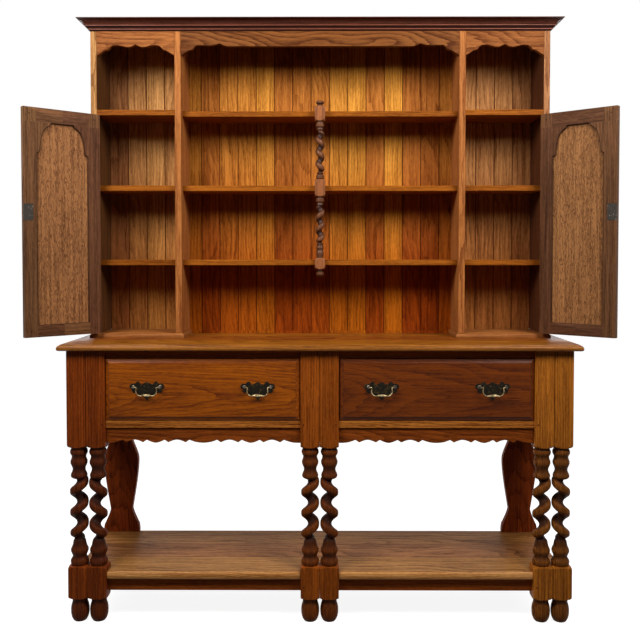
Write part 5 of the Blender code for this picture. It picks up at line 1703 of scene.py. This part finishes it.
@dataclass
class Carcass:
    """The straight boards of the base and of the rack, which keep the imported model's shapes.

    Attributes:
        arris: How wide an eased arris is.
        board_count: How many matched boards the back has.
        peg: The radius of the pegs in the legs.
        peg_inset: How far each peg is from its leg's edge.
        peg_heights: The heights of the pegs in each leg.
        peg_proud: How far each peg stands out of its leg.
    """

    arris: float = 0.0009
    board_count: int = 23
    peg: float = 0.0030
    peg_inset: float = 0.010
    peg_heights: Point = (0.6470, 0.118)
    peg_proud: float = 0.0001

    def build(self) -> None:
        """Finish every straight board."""
        self.tops()
        self.uprights()
        self.shelves()
        self.back()
        self.base()
        self.fittings()

    def tops(self) -> None:
        """Build the moulded boards, and finish the pot board."""
        low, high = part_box("worktop")
        top = BoardedOak("worktop_oak", TOP, "XYZ", Figure.CROWN, (0.02, 0.03), ring=0.0052, seed=2.0,
                         roughness=0.30, contrast=1.3, shine=0.10, gloss=0.08, start=low.y,
                         pitch=(high.y - low.y) / 3)
        MouldedSlab("worktop", top, "oak_top").build()
        # Painted light: the pot board's front edge and outward ends are stained paler than its top
        dress("pot_board", FacingLitOak("pot_board_oak", POT, "XYZ", Figure.CROWN, (0.02, 0.03), ring=0.0052,
                                   seed=7.0, roughness=0.36, shine=0.03, gloss=0.03, start=-0.20,
                                   pitch=0.137), self.arris)
        cornice = MitredOak("cornice_oak", CORNICE, "XZY", Figure.STRAIGHT, ring=0.0040, seed=1.0, tone=0.90,
                            roughness=0.30, contrast=0.7, shine=0.06, gloss=0.04, corner=(0.79, 0.0175),
                            # Bright lines of painted highlight
                            highlight_lines=(1.9787, 1.9676),
                            # Dark bands of painted shade
                            shaded_grooves=((1.9700, 1.9770), (1.9625, 1.9655), (1.9985, 2.0)))
        MouldedSlab("cornice", cornice, "oak_frame", (0.014, 0.012)).build()
        for number, side in enumerate(SIDES):
            base = MitredOak("cupboard_base_%s_oak" % side, POST, "XYZ", Figure.STRAIGHT, seed=5.0 + number,
                             tone=0.86, roughness=0.32)
            MouldedSlab("cupboard_base_" + side, base, "oak_frame").build()

    def uprights(self) -> None:
        """Finish the rack's sides and posts, whose grain stands."""
        for number, (kind, side) in enumerate([(kind, side) for kind in ("side", "post") for side in SIDES]):
            node = "rack_%s_%s" % (kind, side)
            middle = middle_of(node)
            board = {"name": node + "_oak", "axes": "ZYX", "figure": Figure.STRAIGHT, "ring": 0.0046,
                     "heart": (middle.y, middle.x), "slope": 0.03, "seed": 1.9 * number + 0.4}
            if kind == "post":
                oak = Oak(stain=POST, **board)
            else:
                # The sides' inner faces take the dark WALL stain as painted shade, and their front edges the
                # pale SIDE stain as painted light
                oak = FacingLitOak(stain=WALL, front=SIDE, tone=1.1 if side == "right" else 1.0, start=-1.0,
                              pitch=9.0, **board)
            dress(node, oak, self.arris)

    def shelves(self) -> None:
        """Finish the shelves and the niches' floors, whose grain runs across."""
        names = ["centre_shelf_" + level for level in ("upper", "middle", "lower")]
        names += ["niche_floor_" + side for side in SIDES]
        names += ["cupboard_shelf_%s_%s" % (side, level) for side in SIDES for level in ("upper", "lower")]
        for number, node in enumerate(names):
            middle = middle_of(node)
            dress(node, Oak(node + "_oak", SHELF, "XYZ", Figure.CROWN, (middle.y, middle.z + 0.02),
                            ring=0.0046, seed=1.3 * number, tone=0.97 + 0.05 * (number % 3 - 1)),
                  self.arris)

    def back(self) -> None:
        """Finish the matched boards of the back and the panel of the base's back."""
        low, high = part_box("back_boards")
        dress("back_boards", BoardedOak(
            "back_boards_oak", BOARD, "ZXY", ring=0.0052, slope=0.012, seed=3.0, tone=0.98, roughness=0.5,
            contrast=0.7, shine=0.02, start=low.x, pitch=(high.x - low.x) / self.board_count, joint=0.045,
            inner_from=0.49))
        dress("base_back", BoardedOak("base_back_oak", BOARD, ring=0.0052, seed=11.0, tone=0.80,
                                      roughness=0.5, start=0.58, pitch=0.10), self.arris)

    def base(self) -> None:
        """Finish the base's sides, rails and middle bearer."""
        for number, side in enumerate(SIDES):
            node = "base_side_" + side
            middle = middle_of(node)
            dress(node, Oak(node + "_oak", BASE, "YZX", Figure.CROWN, (middle.z, middle.x), ring=0.0050,
                            slope=0.03, seed=2.7 + number, roughness=0.5, contrast=1.3, shine=0.03),
                  self.arris)
        # Painted light: both rails are toned lighter than their stain, lifting the shade under the worktop
        # and the pot board's front
        for number, (node, tone) in enumerate((("top_rail", 1.3), ("pot_board_rail", 1.6))):
            middle = middle_of(node)
            dress(node, Oak(node + "_oak", BASE, "XZY", Figure.STRAIGHT, (middle.z, middle.y), ring=0.0044,
                            seed=5.5 + number, tone=tone))
        dress("drawer_bearer_centre", Oak("bearer_oak", LINING, "YXZ", Figure.STRAIGHT, ring=0.0032, seed=1.0,
                                          tone=0.85, roughness=0.55), self.arris)

    def fittings(self) -> None:
        """Finish the hinges, and peg the drawer rail and the pot board's rail to the legs."""
        for side in SIDES:
            for level in ("upper", "lower"):
                dress("hinge_%s_%s" % (side, level), AGED_BRASS)
        oak = Oak("leg_peg_oak", DARK, "YXZ", Figure.STRAIGHT, slope=0.035, tone=0.6)
        legs = (("left_pair_right", 1), ("centre_pair_left", -1), ("centre_pair_right", 1),
                ("right_pair_left", -1))
        places = [(leg, way, height) for leg, way in legs for height in self.peg_heights]
        for number, (leg, way, height) in enumerate(places, 1):
            low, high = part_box("front_leg_" + leg)
            edge = high.x if way > 0 else low.x
            at = Vector((edge - way * self.peg_inset, low.y - self.peg_proud, height))
            add_piece("leg_peg_%d" % number, peg_shape(at, FRONT, self.peg), oak, "root",
                      sharp=40.0)


@dataclass(frozen=True)
class LampPair:
    """Two soft lamps that mirror each other about the dresser's middle.

    Attributes:
        name: What the lamps' names start with.
        at: Where the right-hand lamp hangs.
        aim: Where it looks.
        size: How wide each lamp is.
        power: The power of each, in watts.
        spread: How wide each throws its light, in radians.
    """

    name: str
    at: Triple
    aim: Triple
    size: float
    power: float
    spread: float = math.radians(120)

    def hang(self) -> None:
        """Hang both lamps and aim them."""
        for side, sign in zip(SIDES, (-1, 1)):
            at, aim = (Vector((sign * x, y, z)) for x, y, z in (self.at, self.aim))
            data = bpy.data.lights.new("%s_%s" % (self.name, side), "AREA")
            data.shape = "SQUARE"
            data.size = self.size
            data.energy = self.power
            data.spread = self.spread
            lamp = bpy.data.objects.new(data.name, data)
            lamp.visible_camera = False
            lamp.location = at
            lamp.rotation_euler = (at - aim).to_track_quat("Z", "Y").to_euler()
            bpy.context.scene.collection.objects.link(lamp)


@dataclass
class Studio:
    """The camera, the soft lights and the pale floor.

    Attributes:
        eye: Where the camera stands.
        pitch: How far it looks down, in radians.
        yaw: How far it is turned, in radians.
        lens: Its focal length in millimetres.
        sensor: The width of its sensor in millimetres.
        shift: Its upward shift, as a share of the frame.
        front_lamps: The lamps in front of the dresser.
        back_lamps: The weaker lamps behind it.
        fill: The strength of the room's own light.
        floor_drop: How far below the feet the floor lies.
    """

    eye: Triple = (0.01357, -2.80522, 1.19087)
    pitch: float = 0.03053
    yaw: float = 0.00481
    lens: float = 45.862
    sensor: float = 36.0
    shift: float = -0.06133
    front_lamps: LampPair = LampPair("soft_box", (1.30, -1.40, 2.66), (0.15, 0.10, 1.62), 1.05, 25.5)
    back_lamps: LampPair = LampPair("back_light", (2.00, 2.00, 2.30), (0.40, 0.10, 1.00), 1.40, 13.0)
    fill: float = 0.02
    floor_drop: float = 0.0005

    def build(self) -> None:
        """Build the camera, the lights, the room and the floor."""
        self.camera()
        self.front_lamps.hang()
        self.back_lamps.hang()
        self.room()
        self.floor()
        LOG.info("studio")

    def camera(self) -> None:
        """Stand the camera where the photograph was taken from."""
        data = bpy.data.cameras.new("camera")
        data.lens = self.lens
        data.sensor_width = self.sensor
        data.shift_y = self.shift
        camera = bpy.data.objects.new("camera", data)
        camera.location = self.eye
        camera.rotation_euler = (math.pi / 2 - self.pitch, 0.0, self.yaw)
        bpy.context.scene.collection.objects.link(camera)
        bpy.context.scene.camera = camera

    def room(self) -> None:
        """Light the room evenly, and show it white behind the dresser and in its polish."""
        world = bpy.data.worlds.new("room")
        bpy.context.scene.world = world
        nodes = Nodes(world)
        dim, white = (nodes.add("Background", {"Color": WHITE, "Strength": strength}).outputs[0]
                      for strength in (self.fill, 1.0))
        shown = nodes.add("MixShader", {0: nodes.seen_bare(), 1: dim, 2: white})
        nodes.add("OutputWorld", {"Surface": shown.outputs[0]})

    def floor(self) -> None:
        """Lay the plain pale floor, which keeps a soft shadow under the dresser."""
        bm = bmesh.new()
        bmesh.ops.create_grid(bm, x_segments=8, y_segments=8, size=14.0)
        mesh = bpy.data.meshes.new("floor")
        bm.to_mesh(mesh)
        bm.free()
        material = bpy.data.materials.new("floor_paper")
        nodes = Nodes(material)
        away = nodes.add("VectorMath", {0: nodes.add("TexCoord").outputs["Object"]}, operation="LENGTH")
        glow = nodes.add("Emission", {"Color": WHITE,
                                      "Strength": nodes.spread(away.outputs["Value"], 1.0, 4.0, 0.90, 1.0)})
        white = nodes.add("BsdfDiffuse", {"Color": (0.50, 0.50, 0.50, 1.0)})
        bare = nodes.add("AddShader", {0: glow.outputs[0], 1: white.outputs[0]})
        paper = nodes.add("BsdfDiffuse", {"Color": (0.14, 0.138, 0.136, 1.0)})
        shown = nodes.add("MixShader", {0: nodes.seen_bare(), 1: paper.outputs[0], 2: bare.outputs[0]})
        nodes.add("OutputMaterial", {"Surface": shown.outputs[0]})
        mesh.materials.append(material)
        floor = bpy.data.objects.new("floor", mesh)
        floor.location = (0.0, 0.0, -self.floor_drop)
        bpy.context.scene.collection.objects.link(floor)


def main() -> None:
    """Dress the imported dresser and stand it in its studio."""
    logging.basicConfig(level=logging.INFO, format="%(message)s")
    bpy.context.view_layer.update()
    assemblies = [Carcass(), SawnBoards(), FrontLegs(), Spindle(), Drawers()]
    assemblies += [Handle(drawer, end) for drawer in SIDES for end in SIDES]
    assemblies += [Door(side) for side in SIDES]
    for assembly in assemblies:
        assembly.build()
    Studio().build()
    bpy.context.scene.view_settings.view_transform = "Standard"


if __name__ == "__main__":
    main()
